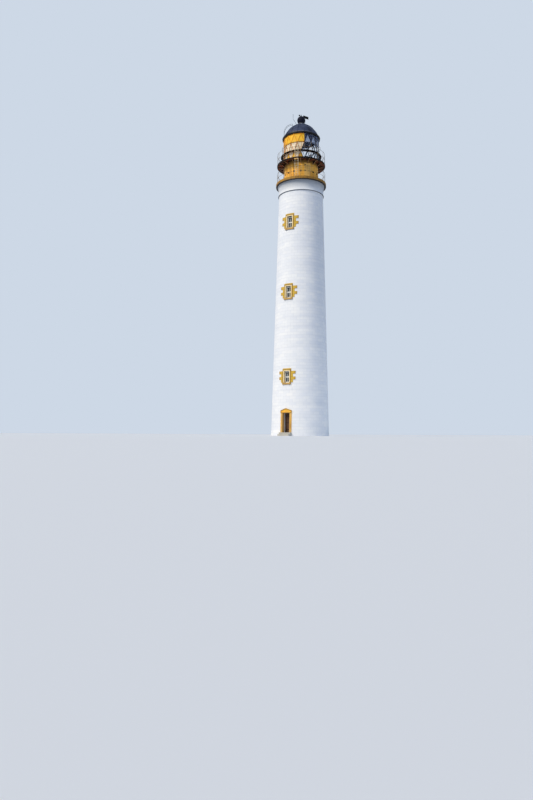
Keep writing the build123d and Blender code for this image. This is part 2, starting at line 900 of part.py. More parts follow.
def make_vane(hub_level):
    """Wind vane that turns on the spindle: arrow and tail plate on one rod through a hub."""
    rod_level = hub_level + vane_rod_rise
    turn = Rot(0, 0, vane_bearing)
    bore = spindle_radius + turning_clearance
    head_start = vane_nose_reach - vane_head_length
    arrow = band(0, vane_hub_radius, hub_level, hub_level + vane_hub_height)
    arrow += towards_front(vane_rod_radius, -vane_tail_start, head_start, rod_level)
    point = Cone(vane_head_radius, 0, vane_head_length)
    arrow += Pos(0, -head_start - vane_head_length / 2, rod_level) * Rot(90, 0, 0) * point
    arrow -= band(0, bore, hub_level, hub_level + vane_hub_height)
    save("vane_arrow", turn * arrow)
    tail = Pos(0, (vane_tail_start + vane_tail_reach) / 2, rod_level)
    plate = Box(vane_tail_thickness, vane_tail_reach - vane_tail_start, vane_tail_height)
    save("vane_tail", turn * tail * plate)


def dome_clear():
    """The dome's outside as a full solid, grown by the seat gap, that feet are cut back to."""
    centre = Pos(*dome_curve_centre())
    size = 2 * dome_base_radius
    window = Pos(0, dome_level) * Rectangle(size, size, align=(Align.MIN, Align.MIN))
    return swung(centre * Circle(dome_curve_radius + seat_gap) & window)


def round_bar(path, radius):
    """A bar of round section that follows a path."""
    return sweep(Plane(origin=path @ 0, z_dir=path % 0) * Circle(radius), path=path)


def make_lightning_rod():
    """Bent rod with a small ball, standing on the dome beside the ventilator."""
    top = dome_crown_level + rod_rise
    path = FilletPolyline(
        (rod_foot_distance, dome_height(rod_foot_distance) - 2 * rod_radius),
        (rod_knee_distance, dome_crown_level + rod_knee_rise),
        (rod_upright_distance, dome_crown_level + rod_upright_rise),
        (rod_upright_distance, top),
        radius=rod_bend_radius,
    )
    rod = round_bar(meridian * path, rod_radius) - dome_clear()
    rod += Pos(0, -rod_upright_distance, top) * Sphere(rod_ball_radius)
    save("lightning_rod", Rot(0, 0, rod_bearing) * rod)


def make_access_ladder():
    """Straight ladder from the main gallery, through the hatch and past the catwalk."""
    top = catwalk_level + ladder_rise
    height = top - gallery_level
    offset = ladder_width / 2
    ladder = Part()
    for side in (-1, 1):
        foot = Pos(side * offset, -ladder_distance, gallery_level + height / 2)
        ladder += foot * Cylinder(ladder_stile_radius, height)
    level = gallery_level + ladder_rung_pitch
    while level < top:
        rung = Pos(0, -ladder_distance, level) * Rot(0, 90, 0)
        ladder += rung * Cylinder(ladder_rung_radius, ladder_width)
        level += ladder_rung_pitch
    save("access_ladder", Rot(0, 0, ladder_bearing) * ladder)


def make_dome_ladder():
    """Ladder bowed over the eave, with its feet on the foot and on the crown of the dome."""
    inner = dome_ladder_foot_distance - dome_ladder_turn_radius
    crown = dome_height(inner) + dome_ladder_standoff
    turn_level = crown - dome_ladder_turn_radius
    sunk = 2 * dome_ladder_stile_radius
    foot = (dome_ladder_foot_distance, dome_height(dome_ladder_foot_distance) - sunk)
    upright = Line(foot, (dome_ladder_foot_distance, turn_level))
    bow = RadiusArc(upright @ 1, (inner, crown), -dome_ladder_turn_radius)
    route = meridian * (upright + bow)
    leg_length = dome_ladder_standoff + sunk
    stile = round_bar(route, dome_ladder_stile_radius)
    stile += Pos(0, -inner, crown - leg_length / 2) * Cylinder(dome_ladder_stile_radius, leg_length)
    offset = dome_ladder_width / 2
    bowed = Pos(-offset, 0, 0) * stile + Pos(offset, 0, 0) * stile
    rungs = int(route.length / dome_ladder_rung_pitch)
    for number in range(1, rungs + 1):
        spot = route @ (number * dome_ladder_rung_pitch / route.length)
        bowed += Pos(*spot) * Rot(0, 90, 0) * Cylinder(dome_ladder_rung_radius, dome_ladder_width)
    save("dome_ladder", Rot(0, 0, dome_ladder_bearing) * (bowed - dome_clear()))


os.makedirs("parts", exist_ok=True)
make_walls()
make_entrance()
make_windows()
make_floors()
make_gallery_courses()
make_drum()
make_lantern_gallery()
make_railings()
make_glazing()
make_catwalk()
make_dome()
make_ventilator()
make_lightning_rod()
make_access_ladder()
make_dome_ladder()
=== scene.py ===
import math

import bmesh
import bpy
from mathutils import Matrix, Vector


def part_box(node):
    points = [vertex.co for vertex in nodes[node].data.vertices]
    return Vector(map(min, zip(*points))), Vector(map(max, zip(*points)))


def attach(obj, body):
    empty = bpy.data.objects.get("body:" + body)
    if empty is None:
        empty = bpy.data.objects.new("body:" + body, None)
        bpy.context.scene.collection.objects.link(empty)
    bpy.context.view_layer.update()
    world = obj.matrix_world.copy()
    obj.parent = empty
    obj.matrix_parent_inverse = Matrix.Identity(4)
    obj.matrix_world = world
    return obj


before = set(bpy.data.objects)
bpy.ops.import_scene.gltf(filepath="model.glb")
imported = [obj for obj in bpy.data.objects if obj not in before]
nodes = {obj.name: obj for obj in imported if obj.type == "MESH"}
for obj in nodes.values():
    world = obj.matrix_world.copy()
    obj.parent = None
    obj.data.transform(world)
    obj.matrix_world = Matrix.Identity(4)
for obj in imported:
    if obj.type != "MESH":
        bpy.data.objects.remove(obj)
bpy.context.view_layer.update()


# The shaft
# Squared stone laid in level courses and limewashed white. The string course and the hollow
# cavetto under the gallery are washed the same. A slate-grey band on the string course is painted
# shadow, the upper cavetto is painted darker as the cornice's shadow, and undersides as shade.
course_rise = 0.34
stones_round_tower = 26
string_low, string_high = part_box("string_course")
string_proud = 0.045
string_shadow_low = string_low.z + 0.0005
string_shadow_high = string_low.z + 0.4116 * (string_high.z - string_low.z)
cavetto_shadow_height = 0.85


def reach(name, above=0.0):
    """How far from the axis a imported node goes, above a level."""
    corners = [vertex.co for vertex in nodes[name].data.vertices]
    return max(math.hypot(corner.x, corner.y) for corner in corners if corner.z >= above)


shaft_base_radius = reach("back_wall")
shaft_head_radius = reach("back_wall", string_low.z - 0.01)


def tint(red, green, blue):
    """A paint colour, given as it looks on a screen, for a shader."""
    return (*(((channel / 255 + 0.055) / 1.055) ** 2.4 for channel in (red, green, blue)), 1)


def give(socket, value):
    """Links an input to another node's output, or sets it to a plain value."""
    if isinstance(value, bpy.types.NodeSocket):
        socket.id_data.links.new(value, socket)
    else:
        socket.default_value = value


def put(tree, kind, inputs=None, **settings):
    """Adds a node with its settings and inputs, and gives back its outputs."""
    node = tree.nodes.new(kind)
    for name, value in settings.items():
        setattr(node, name, value)
    for socket, value in (inputs or {}).items():
        give(node.inputs[socket], value)
    return node.outputs


class Finish:
    """A material in the making: its nodes, its shader and the place on the object."""

    def __init__(self, name):
        self.material = bpy.data.materials.new(name)
        self.material.use_nodes = True
        self.tree = self.material.node_tree
        self.shader = self.tree.nodes["Principled BSDF"]
        self.point = self.add("TexCoord")["Object"]
        self.east, self.north, self.height = self.add("SeparateXYZ", {0: self.point})
        self.bump = None

    def add(self, kind, inputs=None, **settings):
        return put(self.tree, "ShaderNode" + kind, inputs, **settings)

    def calc(self, operation, first, second=0.0):
        return self.add("Math", {0: first, 1: second}, operation=operation)[0]

    def ramp(self, value, low, high, start=0.0, end=1.0):
        """Goes from start to end while a value goes from low to high."""
        inputs = {"Value": value, "From Min": low, "From Max": high, "To Min": start, "To Max": end}
        return self.add("MapRange", inputs)[0]

    def noise(self, scale, squeeze=1.0, detail=4.0):
        """Noise of a scale, drawn out in height where the squeeze is under one."""
        spot = self.add("Mapping", {"Vector": self.point, "Scale": (1, 1, squeeze)})[0]
        return self.add("TexNoise", {"Vector": spot, "Scale": scale, "Detail": detail})[0]

    def cloud(self, scale, low, high, squeeze=1.0, detail=6.0):
        """Soft patches: nought where the noise is below low, and one above high."""
        return self.ramp(self.noise(scale, squeeze, detail), low, high)

    def mix(self, share, first, second):
        return self.add("Mix", {0: share, 6: first, 7: second}, data_type="RGBA")[2]

    def coats(self, shade, *coats):
        """Lays colours over a shade, each where its mask says, no thicker than its share."""
        for mask, share, colour in coats:
            shade = self.mix(self.calc("MULTIPLY", mask, share), shade, colour)
        return shade

    def bearing(self):
        """The bearing of the place round the axis, from the front."""
        return self.calc("ARCTAN2", self.east, self.calc("MULTIPLY", self.north, -1.0))

    def from_axis(self):
        squares = [self.calc("MULTIPLY", way, way) for way in (self.east, self.north)]
        return self.calc("SQRT", self.calc("ADD", *squares))

    def proud(self):
        """How far the place stands out from the tapering face of the shaft."""
        face = self.ramp(self.height, 0.0, string_low.z, shaft_base_radius, shaft_head_radius)
        return self.calc("SUBTRACT", self.from_axis(), face)

    def looks_up(self):
        """One where a face looks up, nought on a wall, minus one on an underside."""
        normal = self.add("NewGeometry")["Normal"]
        return self.add("SeparateXYZ", {0: normal})[2]

    def underside_shade_mask(self):
        """One on undersides, nought on walls and tops: where shade is painted."""
        return self.ramp(self.looks_up(), -0.3, -0.75)

    def emboss(self, height, distance, strength=1.0):
        inputs = {"Height": height, "Distance": distance, "Strength": strength}
        if self.bump:
            inputs["Normal"] = self.bump
        self.bump = self.add("Bump", inputs)[0]

    def done(self, colour, roughness, gloss=0.5, **others):
        """The finished material. Gloss is its specular level, and others are named sockets."""
        sockets = {"Base Color": colour, "Roughness": roughness, "Specular IOR Level": gloss, **others}
        if self.bump:
            sockets["Normal"] = self.bump
        for name, value in sockets.items():
            give(self.shader.inputs[name], value)
        return self.material


def limewash(name, joint_depth):
    """White wash over coursed stone: the joints show as faint sunk lines."""
    wash = Finish(name)
    along = wash.calc("MULTIPLY", wash.bearing(), stones_round_tower / math.tau)
    up_wall = wash.calc("DIVIDE", wash.height, 2 * course_rise)
    inputs = {
        "Vector": wash.add("CombineXYZ", {0: along, 1: up_wall})[0],
        "Color1": (0.2, 0.2, 0.2, 1),
        "Color2": (0.8, 0.8, 0.8, 1),
        "Mortar": (0.5, 0.5, 0.5, 1),
        "Scale": 1.0,
        "Mortar Size": 0.014,
        "Mortar Smooth": 0.6,
        "Brick Width": 1.0,
        "Row Height": 0.5,
    }
    stones = wash.add("TexBrick", inputs, offset=0.5)
    blotches = wash.cloud(0.7, 0.42, 0.68, 1.6)
    tides = wash.cloud(0.15, 0.45, 0.7, 16.0, 4.0)
    runs = wash.cloud(2.2, 0.6, 0.8, 0.12, 5.0)
    grain = wash.noise(30.0, detail=3.0)
    # A slate-grey band painted on the lower part of the string course's face: painted shadow under the
    # string course.
    string_shadow_band = wash.calc("GREATER_THAN", wash.height, string_shadow_low)
    string_shadow_band = wash.calc("MULTIPLY", string_shadow_band, wash.calc("LESS_THAN", wash.height, string_shadow_high))
    on_string = wash.calc("GREATER_THAN", wash.proud(), string_proud)
    # The upper cavetto is painted darker as the cornice's shadow, and more so on the right, away from the
    # light.
    cavetto_shadow = wash.ramp(wash.height, string_high.z, string_high.z + cavetto_shadow_height, 0.0, 0.74)
    shade_to_the_right = wash.ramp(wash.east, -2.2, -0.6, 0.6, 1.0)
    shade = wash.coats(
        wash.mix(stones["Color"], tint(232, 234, 238), tint(247, 246, 243)),
        (blotches, 0.4, tint(222, 226, 232)),
        (tides, 0.3, tint(214, 218, 224)),
        (runs, 0.15, tint(196, 202, 208)),
        (stones["Fac"], 0.35, tint(178, 185, 194)),
        (string_shadow_band, on_string, tint(92, 98, 108)),
        (cavetto_shadow, shade_to_the_right, tint(102, 112, 124)),
        # Undersides are painted darker: painted shade.
        (wash.underside_shade_mask(), 0.85, tint(96, 100, 106)),
    )
    wash.emboss(wash.calc("SUBTRACT", 1.0, stones["Fac"]), joint_depth, 0.7)
    wash.emboss(wash.noise(5.0), 0.014, 0.45)
    wash.emboss(grain, 0.004, 0.3)
    return wash.done(shade, wash.ramp(grain, 0.3, 0.7, 0.78, 0.92))


def dress(material, *names):
    """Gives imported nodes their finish, in the slot that they have."""
    for name in names:
        nodes[name].data.materials.clear()
        nodes[name].data.materials.append(material)


shaft_wash = limewash("limewashed_courses", 0.01)
dress(shaft_wash, "left_wall", "back_wall", "right_wall", "front_wall_over_door")
dress(shaft_wash, "front_wall_left_of_door", "front_wall_right_of_door")
dress(limewash("limewashed_moulding", 0.002), "string_course", "cavetto_course")


# Dressed stone
# The cornice, the entrance, the window surrounds and their sills are cut stone painted ochre.
# Steps and floors are bare grey stone, paler along the arrises and dark where the rain runs.
windows_apart = 2
opening_half_width = 0.34
border_width = 0.19
inner_edge_width = 0.07
quoin_start = 0.8
quoin_end = 1.02
cornice_shadow_line_height = 0.1
panel_proud = 0.066


def spans(name):
    """The lowest and highest level of each group of a node's parts, from the foot up."""
    levels = sorted({round(vertex.co.z, 4) for vertex in nodes[name].data.vertices})
    groups = [[levels[0]]]
    for lower, upper in zip(levels, levels[1:]):
        if upper - lower > windows_apart:
            groups.append([])
        groups[-1].append(upper)
    return [(group[0], group[-1]) for group in groups]


def weathered(stone, face, deep, pale, stain=0.35):
    """The colour of cut stone: patches, stains drawn down in runs, and rubbed arrises."""
    arris = stone.ramp(stone.add("NewGeometry")["Pointiness"], 0.52, 0.62)
    return stone.coats(
        face,
        (stone.cloud(1.7, 0.38, 0.7), 0.7, deep),
        (stone.cloud(6.0, 0.48, 0.76, 0.14, 4.0), stain, deep),
        (arris, 0.5, pale),
    )


def finish_stone(stone, shade, roughness, underside_shade):
    """Paints shade on the undersides, and marks the faces with tooling and grain."""
    stone.emboss(stone.noise(18.0, detail=5.0), 0.008, 0.5)
    stone.emboss(stone.noise(60.0, detail=3.0), 0.003, 0.5)
    return stone.done(stone.mix(stone.underside_shade_mask(), shade, underside_shade), roughness)


ochre = tint(216, 162, 70)
ochre_deep = tint(160, 112, 48)
ochre_pale = tint(240, 204, 130)
# The colour painted on the undersides of the stone as shade.
painted_underside_shade = tint(44, 34, 26)

cornice = Finish("ochre_cornice")
cornice_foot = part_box("gallery_cornice")[0].z
# A band along the foot of the cornice is painted near-black: painted shadow line under the cornice.
cornice_shadow_line = cornice.ramp(cornice.height, cornice_foot + cornice_shadow_line_height, cornice_foot + cornice_shadow_line_height / 2)
colour = weathered(cornice, tint(176, 128, 36), tint(100, 68, 20), tint(206, 158, 66), 0.75)
colour = cornice.mix(cornice_shadow_line, colour, tint(24, 16, 12))
dress(finish_stone(cornice, colour, 0.75, painted_underside_shade), "gallery_cornice")

jambs = Finish("ochre_jambs")
colour = weathered(jambs, ochre, ochre_deep, ochre_pale)
dress(finish_stone(jambs, colour, 0.72, painted_underside_shade), "door_jambs")

surround = Finish("ochre_window_stones")
across = surround.calc("ABSOLUTE", surround.east)
windows = spans("window_frames")
from_middle = string_low.z
for low, high in windows:
    up_or_down = surround.calc("ABSOLUTE", surround.calc("SUBTRACT", surround.height, (low + high) / 2))
    from_middle = surround.calc("MINIMUM", from_middle, up_or_down)
top_low, top_high = windows[-1]
beside = surround.calc("SUBTRACT", across, opening_half_width)
above = surround.calc("SUBTRACT", from_middle, (top_high - top_low) / 2)
from_opening = surround.calc("MAXIMUM", beside, above)
end_stones = surround.ramp(from_opening, border_width - 0.02, border_width + 0.02)
inner_edge = surround.ramp(from_opening, inner_edge_width + 0.015, inner_edge_width - 0.015)
# A darker rim painted round the outer edge of the border: painted shade.
rim_shade = surround.ramp(from_opening, border_width - 0.1, border_width - 0.06)
on_surround = surround.calc("LESS_THAN", from_opening, border_width + 0.01)
rim_shade = surround.calc("MULTIPLY", rim_shade, on_surround)
colour = surround.coats(
    weathered(surround, tint(232, 180, 62), ochre_deep, ochre_pale),
    (end_stones, 0.75, tint(208, 172, 52)),
    # the outer ends of the quoins painted darker: painted shade
    (surround.ramp(across, quoin_start, quoin_end), 0.6, tint(150, 106, 40)),
    (rim_shade, 0.8, tint(122, 96, 40)),
    (inner_edge, 0.9, tint(252, 234, 188)),
)
dress(finish_stone(surround, colour, 0.72, painted_underside_shade), "window_surrounds")

pediment = Finish("ochre_pediment")
on_border = pediment.calc("GREATER_THAN", pediment.proud(), panel_proud)
colour = weathered(pediment, tint(252, 192, 58), tint(226, 164, 60), tint(255, 218, 120))
colour = pediment.coats(colour, (on_border, 0.8, tint(132, 92, 40)))
dress(finish_stone(pediment, colour, 0.7, painted_underside_shade), "door_pediment")

sills = Finish("ochre_sills")
colour = weathered(sills, tint(178, 136, 58), tint(118, 86, 38), tint(214, 176, 104), 0.6)
dress(finish_stone(sills, colour, 0.75, painted_underside_shade), "window_sills")

bare = Finish("grey_stone")
colour = weathered(bare, tint(176, 172, 160), tint(126, 122, 112), tint(208, 204, 194))
grey_stone = finish_stone(bare, colour, 0.85, tint(96, 92, 84))
dress(grey_stone, "door_steps", "ground_floor", "watch_room_floor")


# Stair windows
# White-painted timber frames set back in the reveals, each light divided by a slim glazing bar
# and puttied in with a bead, with a single sheet of old glass that is grey with salt.
frame_width = 0.095
glazing_setback = 0.03
glazing_bar_width = 0.034
glazing_bar_depth = 0.024
glazing_bar_bevel = 0.005
bead_width = 0.014
bead_bevel = 0.003


def circle(count):
    """Points spaced evenly round a circle of radius one."""
    angles = [math.tau * number / count for number in range(count)]
    return [(math.cos(angle), math.sin(angle)) for angle in angles]


class Shape:
    """Small parts gathered into one mesh. They are drawn at the front, facing -Y."""

    def __init__(self):
        self.mesh = bmesh.new()

    def skin(self, rings, closed=False):
        """Joins rings of corners into a tube, which is capped unless it closes on itself."""
        made = [[self.mesh.verts.new(corner) for corner in ring] for ring in rings]
        pairs = list(zip(made, made[1:]))
        if closed:
            pairs.append((made[-1], made[0]))
        else:
            self.mesh.faces.new(reversed(made[0]))
            self.mesh.faces.new(made[-1])
        for lower, upper in pairs:
            for number in range(len(lower)):
                after = (number + 1) % len(lower)
                self.mesh.faces.new((lower[number], lower[after], upper[after], upper[number]))

    def turned(self, profile, spot, axis=(0, -1, 0), sides=6):
        """A turned part: radii along its own axis, from the seat outwards."""
        turn = Matrix.Translation(spot) @ Vector(axis).to_track_quat("Z", "Y").to_matrix().to_4x4()
        rings = []
        for radius, along in profile:
            rings.append([turn @ Vector((radius * x, radius * y, along)) for x, y in circle(sides)])
        self.skin(rings)

    def bar(self, start, end, radius, sides=8):
        run = Vector(end) - Vector(start)
        self.turned([(radius, 0), (radius, run.length)], start, run, sides)

    def block(self, low, high, bevel=0.002, turn=Matrix.Identity(4)):
        """A box between two corners, with its edges eased, turned about the axis."""
        size = Vector(high) - Vector(low)
        middle = (Vector(high) + Vector(low)) / 2
        matrix = turn @ Matrix.Translation(middle) @ Matrix.Diagonal((*size, 1))
        made = bmesh.ops.create_cube(self.mesh, size=1, matrix=matrix)
        edges = {edge for vertex in made["verts"] for edge in vertex.link_edges}
        bmesh.ops.bevel(self.mesh, geom=list(edges), offset=bevel, segments=1, affect="EDGES")

    def hoop(self, profile, start=0.0, sweep=math.tau, steps=96):
        """A section of distances from the axis and heights, swung round the axis."""
        closed = sweep >= math.tau
        rings = []
        for number in range(steps if closed else steps + 1):
            angle = start + sweep * number / steps
            sine, cosine = math.sin(angle), math.cos(angle)
            rings.append([(distance * sine, -distance * cosine, height) for distance, height in profile])
        self.skin(rings, closed)

    def strip(self, points, width, thickness):
        """A flat bar whose outer face follows points of distance and height."""
        half = width / 2
        rings = []
        for number, (distance, height) in enumerate(points):
            before = points[max(number - 1, 0)]
            after = points[min(number + 1, len(points) - 1)]
            run = Vector((after[0] - before[0], after[1] - before[1])).normalized()
            back = (run.y * thickness - distance, height + run.x * thickness)
            front = (-distance, height)
            rings.append([(-half, *back), (half, *back), (half, *front), (-half, *front)])
        self.skin(rings)

    def done(self, name):
        bmesh.ops.recalc_face_normals(self.mesh, faces=self.mesh.faces)
        mesh = bpy.data.meshes.new(name)
        self.mesh.to_mesh(mesh)
        self.mesh.free()
        mesh.shade_smooth()
        mesh.set_sharp_from_angle(angle=math.radians(35))
        return mesh


def stand(name, data):
    """A new object in the scene."""
    thing = bpy.data.objects.new(name, data)
    bpy.context.scene.collection.objects.link(thing)
    return thing


def place(name, shape, material, body="tower"):
    """A piece that stands once, in place, riding on a body."""
    piece = stand(name, shape.done(name))
    piece.data.materials.append(material)
    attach(piece, body)


def painted_timber(name, face, deep, roughness):
    """Paint on timber, with the grain showing through it and worn patches."""
    timber = Finish(name)
    grain = timber.noise(40.0, 0.06, 6.0)
    worn = timber.cloud(9.0, 0.55, 0.75, detail=4.0)
    shade = timber.coats(face, (timber.ramp(grain, 0.4, 0.7), 0.5, deep), (worn, 0.4, deep))
    timber.emboss(grain, 0.002, 0.6)
    return timber.done(shade, roughness)


window_paint = painted_timber("white_window_paint", tint(244, 244, 240), tint(196, 192, 180), 0.4)
dress(window_paint, "window_frames")

glass = Finish("window_glass")
shade = glass.mix(glass.cloud(2.6, 0.35, 0.75), tint(44, 48, 48), tint(98, 106, 104))
glass.emboss(glass.noise(3.0), 0.002, 0.25)
dress(glass.done(shade, 0.12, gloss=0.3, Alpha=0.9, IOR=1.5), "window_panes")

bars = Shape()
half_bar = glazing_bar_width / 2
for low, high in windows:
    corners = [vertex.co for vertex in nodes["window_frames"].data.vertices if low <= vertex.co.z <= high]
    seat = min(corner.y for corner in corners) + glazing_setback
    half = max(corner.x for corner in corners) - frame_width
    light = (high - low - 3 * frame_width) / 2
    for foot in (low + frame_width, high - frame_width - light):
        head = foot + light
        bars.block((-half_bar, seat - glazing_bar_depth, foot), (half_bar, seat, head), glazing_bar_bevel)
        for side in (-half, half - bead_width):
            bars.block((side, seat - bead_width, foot), (side + bead_width, seat, head), bead_bevel)
        for level in (foot, head - bead_width):
            bars.block((-half, seat - bead_width, level), (half, seat, level + bead_width), bead_bevel)
place("window_glazing_bars", bars, window_paint)


# Entrance door
# Ledged boards on the back of the reveal, hung on three wrought straps, with a ring handle and
# a lock plate. The paint is dark brown and the ironwork black.
board_count = 5
board_gap = 0.004
board_thickness = 0.014
strap_length = 0.6
strap_width = 0.05
strap_thickness = 0.006
strap_levels = (0.3, 1.05, 1.8)
nail_shares = (0.1, 0.4, 0.7, 0.95)
nail_head = [(0.009, 0), (0.0072, 0.004), (0.002, 0.006)]
lock_inset = 0.11
lock_level = 1.0
lock_half_width = 0.03
lock_half_height = 0.08
lock_thickness = 0.004
handle_boss = [(0.022, 0), (0.022, 0.012), (0.012, 0.02)]
handle_radius = 0.045
handle_wire = 0.006
door_low, door_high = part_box("entrance_door")

door_paint = painted_timber("brown_door_paint", tint(92, 62, 40), tint(54, 36, 24), 0.5)
dress(door_paint, "entrance_door", "door_frame")

boards = Shape()
face = door_low.y - board_thickness
board_width = (door_high.x - door_low.x) / board_count
for number in range(board_count):
    left = door_low.x + number * board_width
    boards.block(
        (left + board_gap / 2, face, door_low.z + board_gap),
        (left + board_width - board_gap / 2, door_low.y, door_high.z - board_gap),
        board_gap,
    )
place("entrance_door_boards", boards, door_paint)


def black_iron(name, face=tint(26, 28, 32), rust=tint(92, 52, 32), roughness=0.45):
    """Black paint over iron, with a little rust where it has lifted."""
    iron = Finish(name)
    lifted = iron.cloud(11.0, 0.6, 0.72)
    iron.emboss(iron.noise(45.0), 0.002, 0.5)
    roughness = iron.ramp(lifted, 0.0, 1.0, roughness, 0.8)
    return iron.done(iron.coats(face, (lifted, 0.7, rust)), roughness, gloss=0.2)


door_iron = black_iron("black_door_iron")
furniture = Shape()
front = face - strap_thickness
for level in strap_levels:
    foot = door_low.z + level
    furniture.block((door_low.x, front, foot), (door_low.x + strap_length, face, foot + strap_width))
    for share in nail_shares:
        spot = (door_low.x + share * strap_length, front, foot + strap_width / 2)
        furniture.turned(nail_head, spot, sides=8)
lock = Vector((door_high.x - lock_inset, face, door_low.z + lock_level))
furniture.block(
    lock - Vector((lock_half_width, lock_thickness, lock_half_height)),
    lock + Vector((lock_half_width, 0, lock_half_height)),
    0.0015,
)
boss_length = handle_boss[-1][1]
boss_seat = lock + Vector((0, -lock_thickness, lock_half_height / 4))
furniture.turned(handle_boss, boss_seat, sides=12)
ring_centre = boss_seat - Vector((0, boss_length, handle_radius))
ring = []
for up, aside in circle(20):
    outward = Vector((aside, 0, -up))
    middle = ring_centre + handle_radius * outward
    ring.append([middle + handle_wire * (x * outward + Vector((0, y, 0))) for x, y in circle(6)])
furniture.skin(ring, True)
place("entrance_door_ironwork", furniture, door_iron)


# Drum of the watch room
# Sixteen cast-iron panels painted ochre. Straps riveted over the joints, cleats bolted down to
# the stone at the foot, and old rust that runs down from the gallery above. The top of the drum
# is painted dark as the gallery's shadow.
bays = 16
bay = math.tau / bays
joint_bearing = math.radians(38.5)
half_bay_bearing = joint_bearing - bay / 2
seating = 0.002
sinking = 0.001
strap_half = 0.028
strap_proud = 0.007
rivet_head = [(0.012, 0), (0.0108, 0.005), (0.0048, 0.009)]
rivet_aside = 0.016
rivet_margin = 0.07
rivet_rows = 9
cleats_a_bay = 2
cleat_half = 0.04
cleat_thickness = 0.01
cleat_bolt = 0.05
slat_half_width = 0.041
slat_half_height = 0.004
slat_front = 0.02
slat_bevel = 0.001
slat_step = 0.024
upward = Vector((0, 0, 1))
drum_low, drum_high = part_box("drum_panels")
drum_radius = reach("drum_panels")


def at(distance, bearing, height):
    """A place by its distance from the axis, its bearing from the front and its height."""
    return Vector((distance * math.sin(bearing), -distance * math.cos(bearing), height))


def band(inner, outer, low, high):
    """The section of a flat band that goes round the tower."""
    return [(inner, low), (outer, low), (outer, high), (inner, high)]


def bolt(head_radius, head_height, radius, length):
    """The profile of a hexagon nut, with the end of its bolt standing out of it."""
    shoulder = head_height + 0.001
    return [(head_radius, 0), (head_radius, head_height), (radius, shoulder), (radius, length)]


def pattern_tree():
    """Sets a shape out in a row, and the rows round the axis."""
    tree = bpy.data.node_groups.new("set_out_round_axis", "GeometryNodeTree")
    for name, kind in (
        ("Geometry", "Geometry"),
        ("Row Count", "Int"),
        ("Row Step", "Vector"),
        ("Ring Count", "Int"),
        ("First Bearing", "Float"),
        ("Bearing Step", "Float"),
        ("Material", "Material"),
    ):
        tree.interface.new_socket(name=name, in_out="INPUT", socket_type="NodeSocket" + kind)
    tree.interface.new_socket(name="Geometry", in_out="OUTPUT", socket_type="NodeSocketGeometry")
    given = put(tree, "NodeGroupInput")
    inputs = {"Count": given["Row Count"], "Offset": given["Row Step"]}
    row = put(tree, "GeometryNodeMeshLine", inputs)[0]
    inputs = {"Points": row, "Instance": given["Geometry"]}
    in_row = put(tree, "GeometryNodeInstanceOnPoints", inputs)[0]
    inputs = {"Count": given["Ring Count"], "Offset": (0, 0, 0)}
    ring = put(tree, "GeometryNodeMeshLine", inputs)[0]
    index = put(tree, "GeometryNodeInputIndex")[0]
    inputs = {0: index, 1: given["Bearing Step"], 2: given["First Bearing"]}
    bearing = put(tree, "ShaderNodeMath", inputs, operation="MULTIPLY_ADD")[0]
    angles = put(tree, "ShaderNodeCombineXYZ", {2: bearing})[0]
    turn = put(tree, "FunctionNodeEulerToRotation", {0: angles})[0]
    inputs = {"Points": ring, "Instance": in_row, "Rotation": turn}
    round_axis = put(tree, "GeometryNodeInstanceOnPoints", inputs)[0]
    real = put(tree, "GeometryNodeRealizeInstances", {0: round_axis})[0]
    inputs = {"Geometry": real, "Material": given["Material"]}
    put(tree, "NodeGroupOutput", {0: put(tree, "GeometryNodeSetMaterial", inputs)[0]})
    return tree


around = pattern_tree()


def set_out(
    name, shape, material, first=joint_bearing, count=bays, step=bay, rows=1, row_step=(0, 0, 0)
):
    """A piece that repeats a shape, from a first bearing on, as one plain mesh."""
    model = stand(name + "_model", shape.done(name + "_model"))
    modifier = model.modifiers.new("set_out", "NODES")
    modifier.node_group = around
    values = {
        "Row Count": rows,
        "Row Step": row_step,
        "Ring Count": count,
        "First Bearing": first,
        "Bearing Step": step,
        "Material": material,
    }
    for item in around.interface.items_tree:
        if item.name in values:
            modifier[item.identifier] = values[item.name]
    graph = bpy.context.evaluated_depsgraph_get()
    mesh = bpy.data.meshes.new_from_object(model.evaluated_get(graph), depsgraph=graph)
    bpy.data.objects.remove(model)
    piece = stand(name, mesh)
    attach(piece, "tower")


def painted_iron(name, face, deep, rust, run_share, roughness, underside_shade=None):
    """Gloss paint on iron: chalked patches, rust lifted in spots and drawn down in runs, painted shade
    below.
    """
    iron = Finish(name)
    patches = iron.cloud(2.3, 0.4, 0.72)
    runs = iron.cloud(7.0, 0.52, 0.7, 0.1, 5.0)
    spots = iron.cloud(14.0, 0.62, 0.7)
    shade = iron.coats(face, (patches, 0.6, deep), (runs, run_share, rust), (spots, run_share, rust))
    # Where a shade colour is given, the undersides are painted with it: painted shade.
    if underside_shade:
        shade = iron.mix(iron.underside_shade_mask(), shade, underside_shade)
    iron.emboss(iron.noise(30.0), 0.003, 0.4)
    iron.emboss(spots, 0.002, 0.6)
    return iron.done(shade, iron.ramp(spots, 0.0, 1.0, roughness, 0.85), gloss=0.2)


drum = Finish("ochre_drum_paint")
patches = drum.cloud(2.3, 0.4, 0.72)
moss = drum.cloud(2.6, 0.56, 0.7, 0.4, 5.0)
chalk = drum.cloud(8.0, 0.5, 0.66, 0.08, 5.0)
runs = drum.cloud(5.5, 0.54, 0.68, 0.08, 5.0)
spots = drum.cloud(14.0, 0.62, 0.7)
